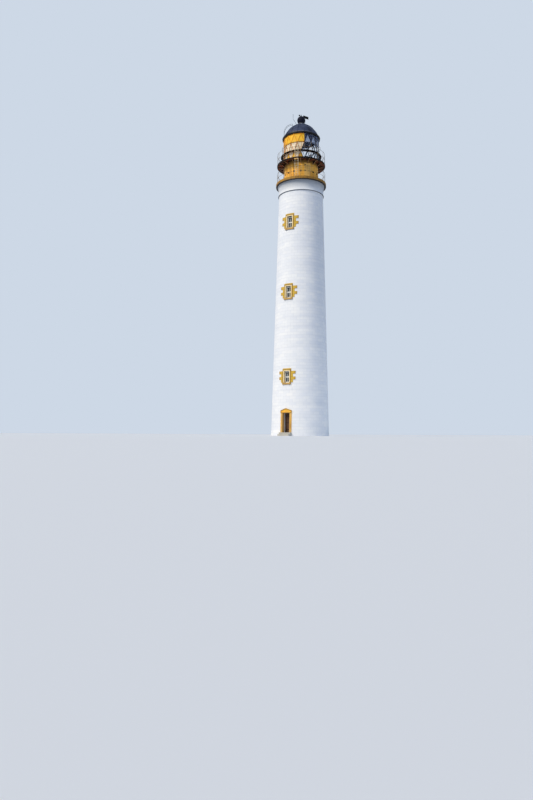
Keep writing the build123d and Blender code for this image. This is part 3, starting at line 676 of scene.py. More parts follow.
# The top of the drum is painted dark under the gallery: painted shadow.
gallery_shadow = drum.ramp(drum.height, drum_high.z - 0.5, drum_high.z - 0.16)
shade = drum.coats(
    tint(255, 192, 74),
    (patches, 0.6, tint(244, 164, 54)),
    (moss, 0.35, tint(164, 112, 46)),
    (chalk, 0.55, tint(255, 212, 136)),
    (runs, 0.6, tint(136, 80, 30)),
    (spots, 0.6, tint(104, 60, 32)),
    (gallery_shadow, 0.8, tint(62, 46, 28)),
)
drum.emboss(drum.noise(30.0), 0.003, 0.4)
drum.emboss(spots, 0.002, 0.6)
drum_paint = drum.done(shade, drum.ramp(spots, 0.0, 1.0, 0.62, 0.85), gloss=0.2)
vent_paint = black_iron("dark_vent_paint", tint(34, 26, 22), tint(70, 42, 28), 0.8)
dress(drum_paint, "drum_panels")
dress(vent_paint, "drum_vents")

straps = Shape()
strap_turn = strap_half / drum_radius
section = band(drum_radius - seating, drum_radius + strap_proud, drum_low.z, drum_high.z)
straps.hoop(section, -strap_turn, 2 * strap_turn, 2)
set_out("drum_joint_straps", straps, drum_paint)

rivets = Shape()
for side in (-1, 1):
    spot = (side * rivet_aside, -drum_radius - strap_proud + sinking, drum_low.z + rivet_margin)
    rivets.turned(rivet_head, spot, sides=8)
rivet_step = upward * (drum_high.z - drum_low.z - 2 * rivet_margin) / (rivet_rows - 1)
set_out("drum_strap_rivets", rivets, drum_paint, rows=rivet_rows, row_step=rivet_step)

cleats = Shape()
back = drum_radius - seating
foot = drum_low.z
for number in range(cleats_a_bay):
    bearing = bay * (number + 0.5) / cleats_a_bay - bay / 2
    turn = Matrix.Rotation(bearing, 4, "Z")
    for depth, height in ((cleat_thickness, 2 * cleat_half), (2 * cleat_half, cleat_thickness)):
        cleats.block((-cleat_half, -back - depth, foot), (cleat_half, -back, foot + height), turn=turn)
    floor_spot = at(back + cleat_bolt, bearing, foot + cleat_thickness - sinking)
    wall_spot = at(back + cleat_thickness - sinking, bearing, foot + cleat_bolt)
    cleats.turned(bolt(0.02, 0.016, 0.009, 0.03), floor_spot, upward)
    cleats.turned(bolt(0.016, 0.01, 0.007, 0.02), wall_spot, at(1, bearing, 0))
rust_iron = black_iron("rusted_iron", tint(74, 48, 34), tint(122, 70, 38), 0.7)
set_out("drum_foot_cleats", cleats, rust_iron, half_bay_bearing)

slats = Shape()
vent_low, vent_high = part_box("drum_vents")
for number in (-1, 0, 1):
    level = (vent_low.z + vent_high.z) / 2 + number * slat_step
    slats.block(
        (-slat_half_width, -drum_radius - slat_front, level - slat_half_height),
        (slat_half_width, -drum_radius - slat_half_height, level + slat_half_height),
        slat_bevel,
    )
set_out("drum_vent_slats", slats, vent_paint, joint_bearing + 1.5 * bay, bays - 1)


# Upper door
# An iron door in the drum, painted a paler ochre inside a flat moulding. It hangs on three
# black strap hinges with round knuckles, and has a lever handle.
upper_half_width = 0.3305
door_turn = upper_half_width / drum_radius
door_bearing = joint_bearing + bay / 2
moulding_width = 0.035
moulding_turn = moulding_width / drum_radius
moulding_proud = 0.01
moulding_margin = 0.03
hinge_levels = (0.22, 0.85, 1.48)
hinge_height = 0.07
hinge_proud = 0.014
hinge_overlap = 0.01
hinge_sweep = 0.09
knuckle_radius = 0.014
knuckle_length = 0.09
knuckle_out = 0.018
lever_level = 0.9
lever_inset = 0.06
lever_out = 0.055
lever_length = 0.12
lever_radius = 0.01
stem_length = 0.06
stem_radius = 0.011
upper_low, upper_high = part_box("gallery_door")
upper_paint = painted_iron(
    "ochre_upper_door_paint", tint(248, 200, 110), tint(222, 166, 82), tint(120, 76, 42), 0.4, 0.5
)
dress(upper_paint, "gallery_door")

upper_door = Shape()
inner, outer = drum_radius - seating, drum_radius + moulding_proud
foot, head = upper_low.z - moulding_margin, upper_high.z + moulding_margin
for start in (-door_turn - moulding_turn, door_turn):
    upper_door.hoop(band(inner, outer, foot, head), start, moulding_turn, 2)
for level in (foot, head - moulding_width):
    section = band(inner, outer, level, level + moulding_width)
    upper_door.hoop(section, -door_turn, 2 * door_turn, 10)
set_out("gallery_door_moulding", upper_door, upper_paint, door_bearing, 1)

upper_iron = Shape()
for level in hinge_levels:
    height = upper_low.z + level
    section = band(drum_radius - sinking, drum_radius + hinge_proud, height, height + hinge_height)
    upper_iron.hoop(section, -door_turn - hinge_overlap, hinge_sweep, 3)
    knuckle = at(drum_radius + knuckle_out, -door_turn - 0.004, height - hinge_overlap)
    upper_iron.bar(knuckle, knuckle + knuckle_length * upward, knuckle_radius, 10)
out = at(1, door_turn - lever_inset, 0)
stem = at(drum_radius, door_turn - lever_inset, upper_low.z + lever_level)
lever = stem + lever_out * out
upper_iron.bar(stem, stem + stem_length * out, stem_radius, 10)
upper_iron.bar(lever, lever + lever_length * out.cross(upward), lever_radius, 10)
set_out("gallery_door_ironwork", upper_iron, door_iron, door_bearing, 1)


# Lantern gallery
# Iron deck plates, dark brown over old red lead, with a black kerb. They lie on curved brackets
# whose pale flanges follow the lower edge and whose feet are bolted to the drum.
deck_low, deck_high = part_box("lantern_gallery_deck")
deck_radius = reach("lantern_gallery_deck")
bracket_low, bracket_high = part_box("lantern_gallery_brackets")
kerb_depth = 0.015
web_half = 0.011
flange_width = 0.05
flange_thickness = 0.012
foot_half_width = 0.05
foot_thickness = 0.012
foot_bolt_aside = 0.031
foot_bolt_margin = 0.06
kerb_bolt = [(0.015, 0), (0.013, 0.008), (0.005, 0.012)]
kerb_bolt_level = 0.05

deck = Finish("brown_deck_paint")
patches = deck.cloud(2.4, 0.45, 0.62)
spots = deck.cloud(9.0, 0.62, 0.7)
on_kerb = deck.calc("GREATER_THAN", deck.from_axis(), deck_radius - kerb_depth)
# The undersides of the plates are painted darker: painted shade.
shade = deck.coats(
    deck.mix(patches, tint(40, 30, 22), tint(138, 74, 46)),
    (spots, 0.8, tint(128, 68, 38)),
    (deck.underside_shade_mask(), 0.35, tint(40, 26, 18)),
)
shade = deck.mix(on_kerb, shade, deck.mix(patches, tint(8, 8, 12), tint(24, 18, 16)))
studs = deck.add("TexVoronoi", {"Vector": deck.point, "Scale": 22.0}, feature="F1")["Distance"]
deck.emboss(deck.noise(25.0), 0.004, 0.5)
deck.emboss(deck.ramp(studs, 0.0, 0.4, 1.0, 0.0), 0.002, 0.3)
deck_paint = deck.done(shade, 0.7, gloss=0.15)
dress(deck_paint, "lantern_gallery_deck", "hatch_plate", "lantern_gallery_brackets")
floor_paint = painted_iron(
    "worn_floor_paint", tint(96, 94, 90), tint(70, 68, 66), tint(92, 60, 40), 0.4, 0.6
)
dress(floor_paint, "lantern_floor")

edge_points = set()
for vertex in nodes["lantern_gallery_brackets"].data.vertices:
    x, y, z = vertex.co
    distance = math.sqrt(max(x ** 2 + y ** 2 - web_half ** 2, 0))
    if z < bracket_high.z - 0.03:
        edge_points.add((round(distance, 3), round(z, 3)))
wall_side = min(edge_points)[0]
lower_edge = sorted((point for point in edge_points if point[0] > wall_side + 0.01), reverse=True)
flanges = Shape()
points = [(distance, height - flange_thickness) for distance, height in lower_edge]
flanges.strip(points, flange_width, -flange_thickness)
bracket_paint = painted_iron(
    "pale_bracket_paint", tint(168, 136, 96), tint(108, 78, 52), tint(88, 50, 32), 0.75, 0.6
)
set_out("bracket_flanges", flanges, bracket_paint, half_bay_bearing)

feet = Shape()
foot_face = -wall_side - foot_thickness
foot_low, foot_high = bracket_low.z + 0.012, bracket_high.z - 0.02
for left, right in ((-foot_half_width, -web_half), (web_half, foot_half_width)):
    feet.block((left, foot_face, foot_low), (right, -drum_radius, foot_high))
for side in (-1, 1):
    for level in (bracket_low.z + foot_bolt_margin, foot_high - foot_bolt_margin):
        feet.turned(bolt(0.014, 0.009, 0.006, 0.016), (side * foot_bolt_aside, foot_face, level))
set_out("bracket_feet", feet, bracket_paint, half_bay_bearing)

bolts = Shape()
for number in (-1, 0, 1):
    bearing = number * 0.3 * bay
    spot = at(deck_radius, bearing, deck_low.z + kerb_bolt_level)
    bolts.turned(kerb_bolt, spot, at(1, bearing, 0), 8)
set_out("kerb_bolts", bolts, black_iron("black_kerb_bolts"), joint_bearing - bay)


# Railings
# Two rails through balls on turned stanchions, in worn tan paint that rusts where the water
# stands, with shade painted dark on the undersides. Each foot is held down by three small bolts.
foot_radius = 0.038
pad_circle = 0.027
pad_thickness = 0.0135
# The colour painted on the undersides of the rails as shade.
shadow = tint(44, 42, 46)
rail_paint = painted_iron(
    "worn_railing_paint", tint(150, 126, 92), tint(104, 90, 72), tint(104, 66, 42), 0.35, 0.6, shadow
)
dress(rail_paint, "main_railing_stanchions", "main_railing_rails")
dress(rail_paint, "lantern_railing_stanchions", "lantern_railing_rails", "upper_handrail")
for gallery in ("main", "lantern"):
    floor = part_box(gallery + "_railing_stanchions")[0].z
    distance = reach(gallery + "_railing_stanchions") - foot_radius
    pads = Shape()
    for x, y in circle(3):
        spot = (pad_circle * x, pad_circle * y - distance, floor + pad_thickness)
        pads.turned(bolt(0.007, 0.006, 0.003, 0.012), spot, upward)
    set_out(gallery + "_railing_foot_bolts", pads, rail_paint, half_bay_bearing)


# Access ladder
# Round stiles and rungs in cream paint, stayed to the catwalk above and to the deck's hatch, on
# shoes bolted to the gallery floor. The ladder on the dome is made the same and painted dark.
ladder_bearing = joint_bearing - bay
ladder_distance = 2.4
ladder_half = 0.18
ladder_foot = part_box("access_ladder")[0].z
catwalk_low, catwalk_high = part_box("catwalk_plates")
catwalk_radius = reach("catwalk_plates")
stay_half = 0.02
stay_thickness = 0.012
hatch_edge = 2.175
stay_ends = ((catwalk_radius - 0.01, catwalk_low.z + 0.005), (hatch_edge, deck_high.z - 0.075))
shoe_half_width = 0.04
shoe_half_depth = 0.05
shoe_bolt_aside = 0.036

ladder_paint = painted_iron(
    "pale_ladder_paint", tint(232, 218, 184), tint(196, 176, 136), tint(122, 84, 58), 0.4, 0.5
)
dome_ladder_paint = painted_iron(
    "dark_ladder_paint", tint(44, 52, 66), tint(32, 38, 52), tint(78, 60, 50), 0.3, 0.6
)
dress(ladder_paint, "access_ladder")
dress(dome_ladder_paint, "dome_ladder")
stays = Shape()
for x in (-ladder_half, ladder_half):
    for back, level in stay_ends:
        stays.block(
            (x - stay_half, stay_half - ladder_distance, level),
            (x + stay_half, -back, level + stay_thickness),
        )
    stays.block(
        (x - shoe_half_width, -ladder_distance - shoe_half_depth, ladder_foot),
        (x + shoe_half_width, -ladder_distance + shoe_half_depth, ladder_foot + stay_thickness),
    )
    for aside in (-shoe_bolt_aside, shoe_bolt_aside):
        spot = (x, aside - ladder_distance, ladder_foot + stay_thickness - sinking)
        stays.turned(bolt(0.012, 0.009, 0.005, 0.02), spot, upward)
set_out("ladder_stays", stays, ladder_paint, ladder_bearing, 1)


# Glazing
# Cast-iron rings and slanting bars, with screwed cover strips over the edges of the panes and
# bosses on the corners. Orange on the blanked side; round clear panes black, and pale inside.
tiers = 3
tier_height = 1.0
ring_height = 0.06
ring_half_depth = 0.035
bar_offset = 0.0204
bar_half_depth = 0.03
cover_width = 0.052
cover_thickness = 0.009
cover_bevel = 0.01
cover_screw = [(0.009, 0), (0.007, 0.004), (0.002, 0.006)]
screw_shares = (0.1, 0.3, 0.5, 0.7, 0.9)
boss_cap = [(0.04, -0.02), (0.04, 0.006), (0.026, 0.014), (0.012, 0.016)]
boss_nut = [(0.011, 0), (0.011, 0.008), (0.005, 0.01)]
blank_bays = 7
glazing_low, glazing_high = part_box("glazing_rings")
glazing_corner = reach("glazing_rings")
glazing_radius = glazing_corner - ring_half_depth / math.cos(bay / 2)


def ring_level(number):
    """The underside of a glazing ring, from the sill up to the head."""
    if number == 0:
        return glazing_low.z
    if number == tiers:
        return glazing_high.z - ring_height
    return glazing_low.z + number * tier_height - ring_height / 2


def faces_out(finish):
    """One where a face looks away from the axis, nought on the inside and on level faces."""
    inputs = {
        0: finish.add("CombineXYZ", {0: finish.east, 1: finish.north})[0],
        1: finish.add("NewGeometry")["Normal"],
    }
    away = finish.add("VectorMath", inputs, operation="DOT_PRODUCT")["Value"]
    return finish.calc("GREATER_THAN", away, 0.0)


glazing = Finish("glazing_bar_paint")
rise = glazing.calc("SUBTRACT", glazing.height, glazing_low.z)
lean = glazing.calc("PINGPONG", rise, tier_height)
lean = glazing.calc("MULTIPLY", lean, bay / 2 / tier_height)
edge = glazing.calc("SUBTRACT", joint_bearing - 0.012, lean)
top_tier = glazing.calc("GREATER_THAN", glazing.height, ring_level(2) + ring_height / 2)
edge = glazing.add("Mix", {0: top_tier, 2: edge, 3: joint_bearing - 0.005})[0]
bearing = glazing.bearing()
before_edge = glazing.calc("LESS_THAN", bearing, edge)
after_start = glazing.calc("GREATER_THAN", bearing, joint_bearing - blank_bays * bay)
blank = glazing.calc("MULTIPLY", before_edge, after_start)
from_ring = glazing.calc("PINGPONG", rise, tier_height / 2)
# On the blanked side the rings are painted dark brown: painted shade along the rings.
ring_shade = glazing.calc("LESS_THAN", from_ring, ring_height / 2 + 0.002)
runs = glazing.cloud(8.0, 0.5, 0.7, 0.15, 5.0)
warm = glazing.coats(
    glazing.mix(top_tier, tint(204, 138, 74), tint(244, 168, 40)),
    (runs, 0.5, tint(150, 92, 44)),
    (ring_shade, 0.9, tint(92, 52, 26)),
)
dark = glazing.mix(runs, tint(18, 22, 38), tint(48, 54, 70))
dark = glazing.mix(faces_out(glazing), tint(176, 190, 210), dark)
glazing.emboss(glazing.noise(35.0), 0.002, 0.4)
glazing_paint = glazing.done(glazing.mix(blank, dark, warm), 0.55, gloss=0.15)
dress(glazing_paint, "glazing_rings", "glazing_bars")

for tier in range(tiers):
    covers = Shape()
    low, high = ring_level(tier) + ring_height, ring_level(tier + 1)
    for side in (-1, 1):
        out = at(1, side * bay / 4, 0)
        across = side * at(1, side * bay / 4 + math.pi / 2, 0)
        seat = across * bar_offset + out * (bar_half_depth - seating)
        start = at(glazing_radius, 0, low) + seat
        end = at(glazing_radius, side * bay / 2, high) + seat
        half = across * cover_width / 2
        easing = across * (cover_width / 2 - cover_bevel)
        face = out * cover_thickness
        covers.skin([
            [middle - half, middle - easing + face, middle + easing + face, middle + half]
            for middle in (start, end)
        ])
        for share in screw_shares:
            covers.turned(cover_screw, start.lerp(end, share) + out * (cover_thickness - sinking), out)
    first = joint_bearing - (tier % 2) * bay / 2
    set_out(f"glazing_covers_tier_{tier + 1}", covers, glazing_paint, first)

for number in range(tiers + 1):
    boss = Shape()
    level = ring_level(number) + ring_height / 2
    boss.turned(boss_cap, (0, -glazing_corner, level), sides=12)
    boss.turned(boss_nut, (0, sinking - boss_cap[-1][1] - glazing_corner, level))
    first = joint_bearing - (number % 2) * bay / 2
    set_out(f"glazing_bosses_ring_{number + 1}", boss, glazing_paint, first)


def blank_sheet(name, face, deep, streak, run_share):
    """Painted sheet: faded patches and long streaks from the bars above."""
    sheet = Finish(name)
    patches = sheet.cloud(2.6, 0.4, 0.7)
    streaks = sheet.cloud(9.0, 0.5, 0.7, 0.07, 5.0)
    # Darker orange in patches towards the left of the lantern.
    to_the_left = sheet.ramp(sheet.bearing(), math.radians(-28), math.radians(-44))
    darker_to_the_left = sheet.calc("MULTIPLY", to_the_left, sheet.cloud(6.0, 0.3, 0.55, 0.15, 5.0))
    shade = sheet.coats(
        face,
        (patches, 0.5, deep),
        (streaks, run_share, streak),
        (darker_to_the_left, 0.75, tint(206, 146, 84)),
    )
    sheet.emboss(sheet.noise(3.0), 0.006, 0.3)
    sheet.emboss(sheet.noise(40.0), 0.001, 0.3)
    return sheet.done(shade, 0.5, gloss=0.15)


yellow_sheet = blank_sheet("yellow_sheet", tint(254, 200, 62), tint(244, 176, 44), tint(206, 124, 34), 0.5)
cream_sheet = blank_sheet("cream_sheet", tint(252, 234, 202), tint(234, 202, 152), tint(156, 96, 52), 0.8)
dress(yellow_sheet, "yellow_blank_panels")
dress(cream_sheet, "cream_blank_panels")

panes = Finish("lantern_glass")
salt = panes.cloud(2.2, 0.35, 0.75)
top_tier = panes.calc("GREATER_THAN", panes.height, ring_level(2))
# The down-facing panes of the top tier are painted paler grey and made less clear: painted reflection of
# the sky.
reflecting_panes = panes.calc("LESS_THAN", panes.looks_up(), 0.0)
reflecting_panes = panes.calc("MULTIPLY", reflecting_panes, top_tier)
shade = panes.mix(salt, tint(104, 136, 184), tint(180, 204, 238))
shade = panes.mix(top_tier, shade, tint(74, 88, 130))
shade = panes.mix(reflecting_panes, shade, tint(180, 190, 210))
veil = 0.01
for mask, share in (
    (salt, 0.06),
    (top_tier, 0.16),
    (reflecting_panes, panes.ramp(salt, 0.0, 1.0, 0.3, 0.5)),
):
    veil = panes.calc("ADD", veil, panes.calc("MULTIPLY", mask, share))
veil = panes.calc("MULTIPLY", veil, faces_out(panes))
panes.emboss(panes.noise(2.0), 0.003, 0.2)
dress(panes.done(shade, 0.08, Alpha=veil, IOR=1.45), "lantern_panes")


# Catwalk
# Narrow iron plates on brackets round the lantern, painted nearly black, with red lead showing
# through in runs. Slim posts stand on their edge and carry the handrail through a collar.
post_radius = 0.011
post_foot = [(0.03, 0), (0.03, 0.01), (0.018, 0.016), (0.012, 0.03)]
post_collar = [(0.012, -0.02), (0.02, -0.012), (0.02, 0.012), (0.012, 0.02)]
rail_low, rail_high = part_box("upper_handrail")
rail_level = (rail_low.z + rail_high.z) / 2
rail_radius = reach("upper_handrail") - 0.012
# The undersides of the catwalk are painted darker: painted shade.
catwalk_paint = painted_iron(
    "dark_catwalk_paint", tint(32, 26, 26), tint(20, 20, 26), tint(124, 66, 40), 0.7, 0.65, tint(30, 20, 18)
)
dress(catwalk_paint, "catwalk_plates", "catwalk_brackets")
posts = Shape()
posts.bar((0, -rail_radius, catwalk_high.z - seating), (0, -rail_radius, rail_level), post_radius)
posts.turned(post_foot, (0, -rail_radius, catwalk_high.z - sinking), upward, 10)
posts.turned(post_collar, (0, -rail_radius, rail_level), upward, 10)
set_out("catwalk_handrail_posts", posts, rail_paint)


# Eave gutter
# Cast-iron gutter in sixteen lengths, painted black, with a rounded lip along its top. A strap
# with two screws covers each joint.
joint_half = 0.03
joint_proud = 0.009
joint_screw = [(0.009, 0), (0.009, 0.007), (0.004, 0.009)]
joint_screw_aside = 0.017
joint_screw_level = 0.1
lip_radius = 0.012
gutter_low, gutter_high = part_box("eave_gutter")
gutter_radius = reach("eave_gutter")
gutter_paint = black_iron("black_gutter_paint")
dress(gutter_paint, "eave_gutter")
joints = Shape()
joint_turn = joint_half / gutter_radius
section = band(
    gutter_radius - 0.003, gutter_radius + joint_proud, gutter_low.z + 0.052, gutter_high.z - 0.004
)
joints.hoop(section, -joint_turn, 2 * joint_turn, 2)
for side in (-1, 1):
    back = sinking - joint_proud - gutter_radius
    joints.turned(joint_screw, (side * joint_screw_aside, back, gutter_low.z + joint_screw_level))
set_out("gutter_joint_straps", joints, gutter_paint)
lip = Shape()
lip.hoop([(gutter_radius + lip_radius * x, gutter_high.z + lip_radius * y) for x, y in circle(8)])
place("gutter_lip", lip, gutter_paint)


# Dome
# Sheet-metal gores painted slate blue, paler inside, in three courses that lap downwards, with
# a rib screwed down over every standing joint and a pale lead flashing at the foot.
dome_radius = 2.03
dome_level = gutter_low.z + 0.11
dome_rise = 1.74
dome_curve = 2.45
dome_mouth = 0.4
dome_courses = 3
chord = math.hypot(dome_radius, dome_rise)
drop = math.sqrt(dome_curve ** 2 - chord ** 2 / 4)
curve_centre = dome_radius / 2 - drop * dome_rise / chord
curve_level = dome_level + dome_rise / 2 - drop * dome_radius / chord
foot_angle = math.asin((dome_radius - curve_centre) / dome_curve)
crown_angle = math.asin((dome_mouth - curve_centre) / dome_curve)
lap_above = 0.006
lap_below = 0.014
lap_proud = 0.008
rib_screw = [(0.013, 0), (0.012, 0.006), (0.005, 0.01)]
rib_screw_aside = 0.034
rib_screw_shares = (0.08, 0.2, 0.32, 0.44, 0.56, 0.68, 0.8, 0.92)
flashing_share = 0.925
flashing_proud = 0.01
ladder_foot_plate = [(0.05, -0.004), (0.05, 0.008), (0.03, 0.016)]
ladder_feet = (1.0, 1.97)
dome_ladder_half = 0.15


def on_dome(share, lift=0.0):
    """A distance and height on the dome's outside, from its mouth at 0 to its foot at 1."""
    angle = crown_angle + share * (foot_angle - crown_angle)
    radius = dome_curve + lift
    return curve_centre + radius * math.sin(angle), curve_level + radius * math.cos(angle)


def dome_seat(distance, aside=0.0):
    """A place on the dome's outside by its distance from the axis, and the way out from it."""
    angle = math.asin((distance - curve_centre) / dome_curve)
    out = Vector((0, -math.sin(angle), math.cos(angle)))
    return Vector((aside, -distance, curve_level + dome_curve * out.z)), out


dome = Finish("slate_dome_paint")
patches = dome.cloud(1.4, 0.38, 0.7)
streaks = dome.cloud(5.0, 0.5, 0.74, 0.3, 5.0)
spots = dome.cloud(16.0, 0.66, 0.72)
shade = dome.coats(
    dome.mix(patches, tint(54, 63, 90), tint(24, 32, 54)),
    (streaks, 0.35, tint(84, 94, 112)),
    (spots, 0.6, tint(94, 76, 66)),
)
dome.emboss(dome.noise(6.0), 0.01, 0.35)
dome.emboss(dome.noise(40.0), 0.001, 0.3)
dome_paint = dome.done(dome.mix(faces_out(dome), tint(104, 114, 138), shade), 0.6, gloss=0.2)
dress(dome_paint, "dome_gores", "dome_ribs")

for course in range(1, dome_courses):
    lap = Shape()
    upper = course / dome_courses - lap_above
    lower = course / dome_courses + lap_below
    lap.hoop([
        on_dome(upper),
        on_dome(lower, -seating),
        on_dome(lower, lap_proud),
        on_dome(upper, lap_proud),
    ])
    place(f"dome_lap_{course}", lap, dome_paint)
screws = Shape()
for share in rib_screw_shares:
    for side in (-1, 1):
        spot, out = dome_seat(on_dome(share)[0], side * rib_screw_aside)
        screws.turned(rib_screw, spot - sinking * out, out)
set_out("dome_rib_screws", screws, dome_paint)

flashing = Finish("lead_flashing")
shade = flashing.mix(flashing.cloud(6.0, 0.4, 0.7, detail=5.0), tint(128, 132, 148), tint(90, 96, 112))
flashing.emboss(flashing.noise(20.0), 0.003, 0.5)
skirt = Shape()
skirt.hoop([
    on_dome(flashing_share, -sinking),
    on_dome(1.0, -sinking),
    on_dome(1.0, flashing_proud),
    on_dome(flashing_share, flashing_proud),
])
place("dome_foot_flashing", skirt, flashing.done(shade, 0.7))

foot_plates = Shape()
for side in (-1, 1):
    for distance in ladder_feet:
        spot, out = dome_seat(distance, side * dome_ladder_half)
        foot_plates.turned(ladder_foot_plate, spot, out, 12)
set_out("dome_ladder_feet", foot_plates, dome_ladder_paint, half_bay_bearing - 4 * bay, 1)


# Ventilator
# A hollow cast ball painted blue-black, with a raised belt and eight raised seams. It stands on
# a neck that is pale above and dark at its foot, with a ring of hooded louvres.
ball_radius = 0.46
ball_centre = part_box("ventilator_ball")[1].z - ball_radius
neck_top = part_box("ventilator_neck")[1].z
seam_count = 8
seams_apart = math.tau / seam_count
seam_radius = ball_radius + 0.008
seam_start = math.radians(4)
seam_step = math.radians(7.1)
seam_points = 19
seam_width = 0.03
seam_thickness = 0.012
belt_inner = ball_radius - seating
belt_outer = ball_radius + 0.012
belt_half = 0.03
belt_face_half = 0.022
belt_section = [
    (belt_inner, ball_centre - belt_half),
    (belt_outer, ball_centre - belt_face_half),
    (belt_outer, ball_centre + belt_face_half),
    (belt_inner, ball_centre + belt_half),
]
hood_count = 16
hoods_apart = math.tau / hood_count
hood_half = 0.09
hood_section = [
    (0.328, neck_top - 0.085),
    (0.352, neck_top - 0.1),
    (0.355, neck_top - 0.095),
    (0.328, neck_top - 0.03),
]
pale_depth = 0.13
vent_black = black_iron("black_ventilator_paint", tint(6, 10, 34), tint(24, 28, 46), 0.7)
dress(vent_black, "ventilator_ball", "vane_spindle")

neck = Finish("neck_paint")
pale = neck.mix(neck.cloud(8.0, 0.4, 0.7, detail=4.0), tint(176, 184, 196), tint(140, 148, 162))
at_foot = neck.calc("LESS_THAN", neck.height, neck_top - pale_depth)
neck.emboss(neck.noise(30.0), 0.002, 0.4)
dress(neck.done(neck.mix(at_foot, tint(30, 34, 46), pale), 0.55), "ventilator_neck")

seams = Shape()
angles = [seam_start + number * seam_step for number in range(seam_points)]
points = [(seam_radius * math.sin(angle), ball_centre + seam_radius * math.cos(angle)) for angle in angles]
seams.strip(points, seam_width, seam_thickness)
set_out("ventilator_ball_seams", seams, vent_black, 0.0, seam_count, seams_apart)
belt = Shape()
belt.hoop(belt_section, steps=48)
place("ventilator_ball_belt", belt, vent_black)
hoods = Shape()
hoods.hoop(hood_section, -hood_half, 2 * hood_half, 4)
set_out("ventilator_neck_hoods", hoods, vent_black, 0.0, hood_count, hoods_apart)


# Wind vane
# An arrow and a tail plate on one rod through a hub that turns on the spindle, painted black.
# The tail plate is edged with riveted battens, and a grub screw holds the hub.
vane_turn = math.radians(-26.4)
spin = Matrix.Rotation(vane_turn, 4, "Z")
tail_low, tail_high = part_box("vane_tail")
tail_start = 0.28
tail_end = reach("vane_tail")
tail_length = tail_end - tail_start
batten_half = 0.013
batten_height = 0.045
batten_levels = (tail_low.z - 0.018, tail_high.z - 0.027)
end_batten_half = 0.012
end_batten_width = 0.034
end_batten_inset = 0.02
tail_rivet = [(0.008, 0), (0.006, 0.004)]
tail_rivet_shares = (0.08, 0.36, 0.64, 0.92)
hub_radius = 0.044
grub_screw = [(0.009, 0), (0.009, 0.012), (0.004, 0.014)]
vane_black = black_iron("black_vane_paint", tint(4, 4, 8), tint(20, 18, 22), 0.7)
dress(vane_black, "vane_arrow", "vane_tail")
battens = Shape()
for level in batten_levels:
    low, high = (-batten_half, tail_start - 0.01, level), (batten_half, tail_end, level + batten_height)
    battens.block(low, high, 0.004, spin)
    for side in (-1, 1):
        for share in tail_rivet_shares:
            along = tail_start + share * tail_length
            spot = spin @ Vector((side * (batten_half - 0.0005), along, level + batten_height / 2))
            battens.turned(tail_rivet, spot, spin @ Vector((side, 0, 0)))
for start in (tail_start - 0.009, tail_end - end_batten_width):
    battens.block(
        (-end_batten_half, start, tail_low.z + end_batten_inset),
        (end_batten_half, start + end_batten_width, tail_high.z - end_batten_inset),
        0.003,
        spin,
    )
hub_low, hub_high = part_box("vane_arrow")
screw_spot = spin @ Vector((hub_radius, 0, (hub_low.z + hub_high.z) / 2 + 0.012))
battens.turned(grub_screw, screw_spot, spin @ Vector((1, 0, 0)))
place("vane_tail_battens", battens, vane_black, "vane")


# Lightning rod
# A galvanised rod that has weathered dark, bent out from the crown of the dome and screwed
# down to it through a round foot.
rod_bearing = math.radians(-85.4)
rod_distance = 0.54
rod_collar = [(0.06, -0.004), (0.06, 0.01), (0.035, 0.018), (0.022, 0.05)]
rod = Finish("galvanised_rod")
spangle = rod.cloud(24.0, 0.4, 0.65, detail=3.0)
rod.emboss(spangle, 0.001, 0.3)
rod_finish = rod.done(rod.mix(spangle, tint(46, 52, 62), tint(32, 38, 48)), 0.6, gloss=0.2)
dress(rod_finish, "lightning_rod")
rod_foot = Shape()
rod_foot.turned(rod_collar, *dome_seat(rod_distance), 14)
set_out("lightning_rod_foot", rod_foot, rod_finish, rod_bearing, 1)


# Camera, light and ground
# The eye stands level, low and well back, a little to the right of the front. The light comes
# from the left, with a cool low card on the right and the sky's fill; the ground is pale.
photo_width = 533
photo_height = 800
lens_pixels = 650
eye_distance = 75
eye_height = 0.2
eye_bearing = math.radians(28.6)
eye_roll = math.radians(-0.25)
axis_column = 299.95
horizon_row = 434
sun_bearing = math.radians(-22)
sun_height = math.radians(40)
card_bearing = math.radians(92)
card_distance = 34
card_height = 6
card_slope = 0.12
ground_reach = 600
aside = math.atan((axis_column - photo_width / 2) / lens_pixels)

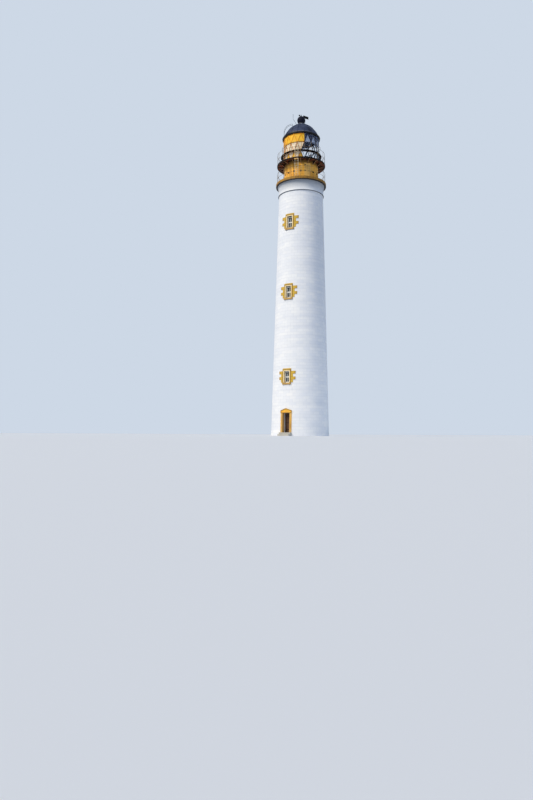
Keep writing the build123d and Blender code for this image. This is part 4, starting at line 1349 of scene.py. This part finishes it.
camera = bpy.data.cameras.new("camera")
camera.sensor_width = 36
camera.lens = lens_pixels / photo_height * camera.sensor_width
camera.shift_y = (horizon_row - photo_height / 2) / photo_height
camera.clip_end = 2000
eye = stand("camera", camera)
eye.location = at(eye_distance, eye_bearing, eye_height)
eye.rotation_euler = (math.pi / 2, eye_roll, eye_bearing + aside)
bpy.context.scene.camera = eye


def hang(name, kind, energy, colour, source):
    """A lamp that shines from the way of its source towards the tower."""
    lamp = bpy.data.lights.new(name, kind)
    lamp.energy = energy
    lamp.color = colour
    holder = stand(name, lamp)
    holder.rotation_euler = source.to_track_quat("Z", "Y").to_euler()
    return holder


sun_source = at(math.cos(sun_height), sun_bearing, math.sin(sun_height))
sun = hang("key_light", "SUN", 2.62, (1.0, 0.91, 0.76), sun_source)
sun.data.angle = math.radians(18)

card = hang("low_fill", "AREA", 210, (0.84, 0.92, 1.0), at(1, card_bearing, card_slope))
card.data.shape = "DISK"
card.data.size = 11
card.data.spread = math.radians(70)
card.location = at(card_distance, card_bearing, card_height)
card.visible_camera = False
card.visible_glossy = False

world = bpy.data.worlds.new("pale_studio")
world.use_nodes = True
studio = world.node_tree
fill = studio.nodes["Background"]
fill.inputs["Color"].default_value = (0.195, 0.289, 0.468, 1)
fill.inputs["Strength"].default_value = 1.0
rays = put(studio, "ShaderNodeLightPath")
inputs = {0: rays["Is Camera Ray"], 1: rays["Is Glossy Ray"]}
shows = put(studio, "ShaderNodeMath", inputs, operation="MAXIMUM")[0]
inputs = {0: shows, 1: rays["Is Transmission Ray"]}
shows = put(studio, "ShaderNodeMath", inputs, operation="MAXIMUM")[0]
seen = put(studio, "ShaderNodeBackground", {"Color": tint(205, 216, 230)})[0]
choice = put(studio, "ShaderNodeMixShader", {0: shows, 1: fill.outputs[0], 2: seen})[0]
give(studio.nodes["World Output"].inputs["Surface"], choice)
bpy.context.scene.world = world
bpy.context.scene.view_settings.view_transform = "Standard"

corners = [(x * ground_reach, y * ground_reach, 0) for x, y in ((-1, -1), (1, -1), (1, 1), (-1, 1))]
ground_mesh = bpy.data.meshes.new("ground")
ground_mesh.from_pydata(corners, [], [(0, 1, 2, 3)])
ground_mesh.materials.append(Finish("pale_ground").done(tint(238, 238, 236), 0.9))
ground = stand("ground", ground_mesh)
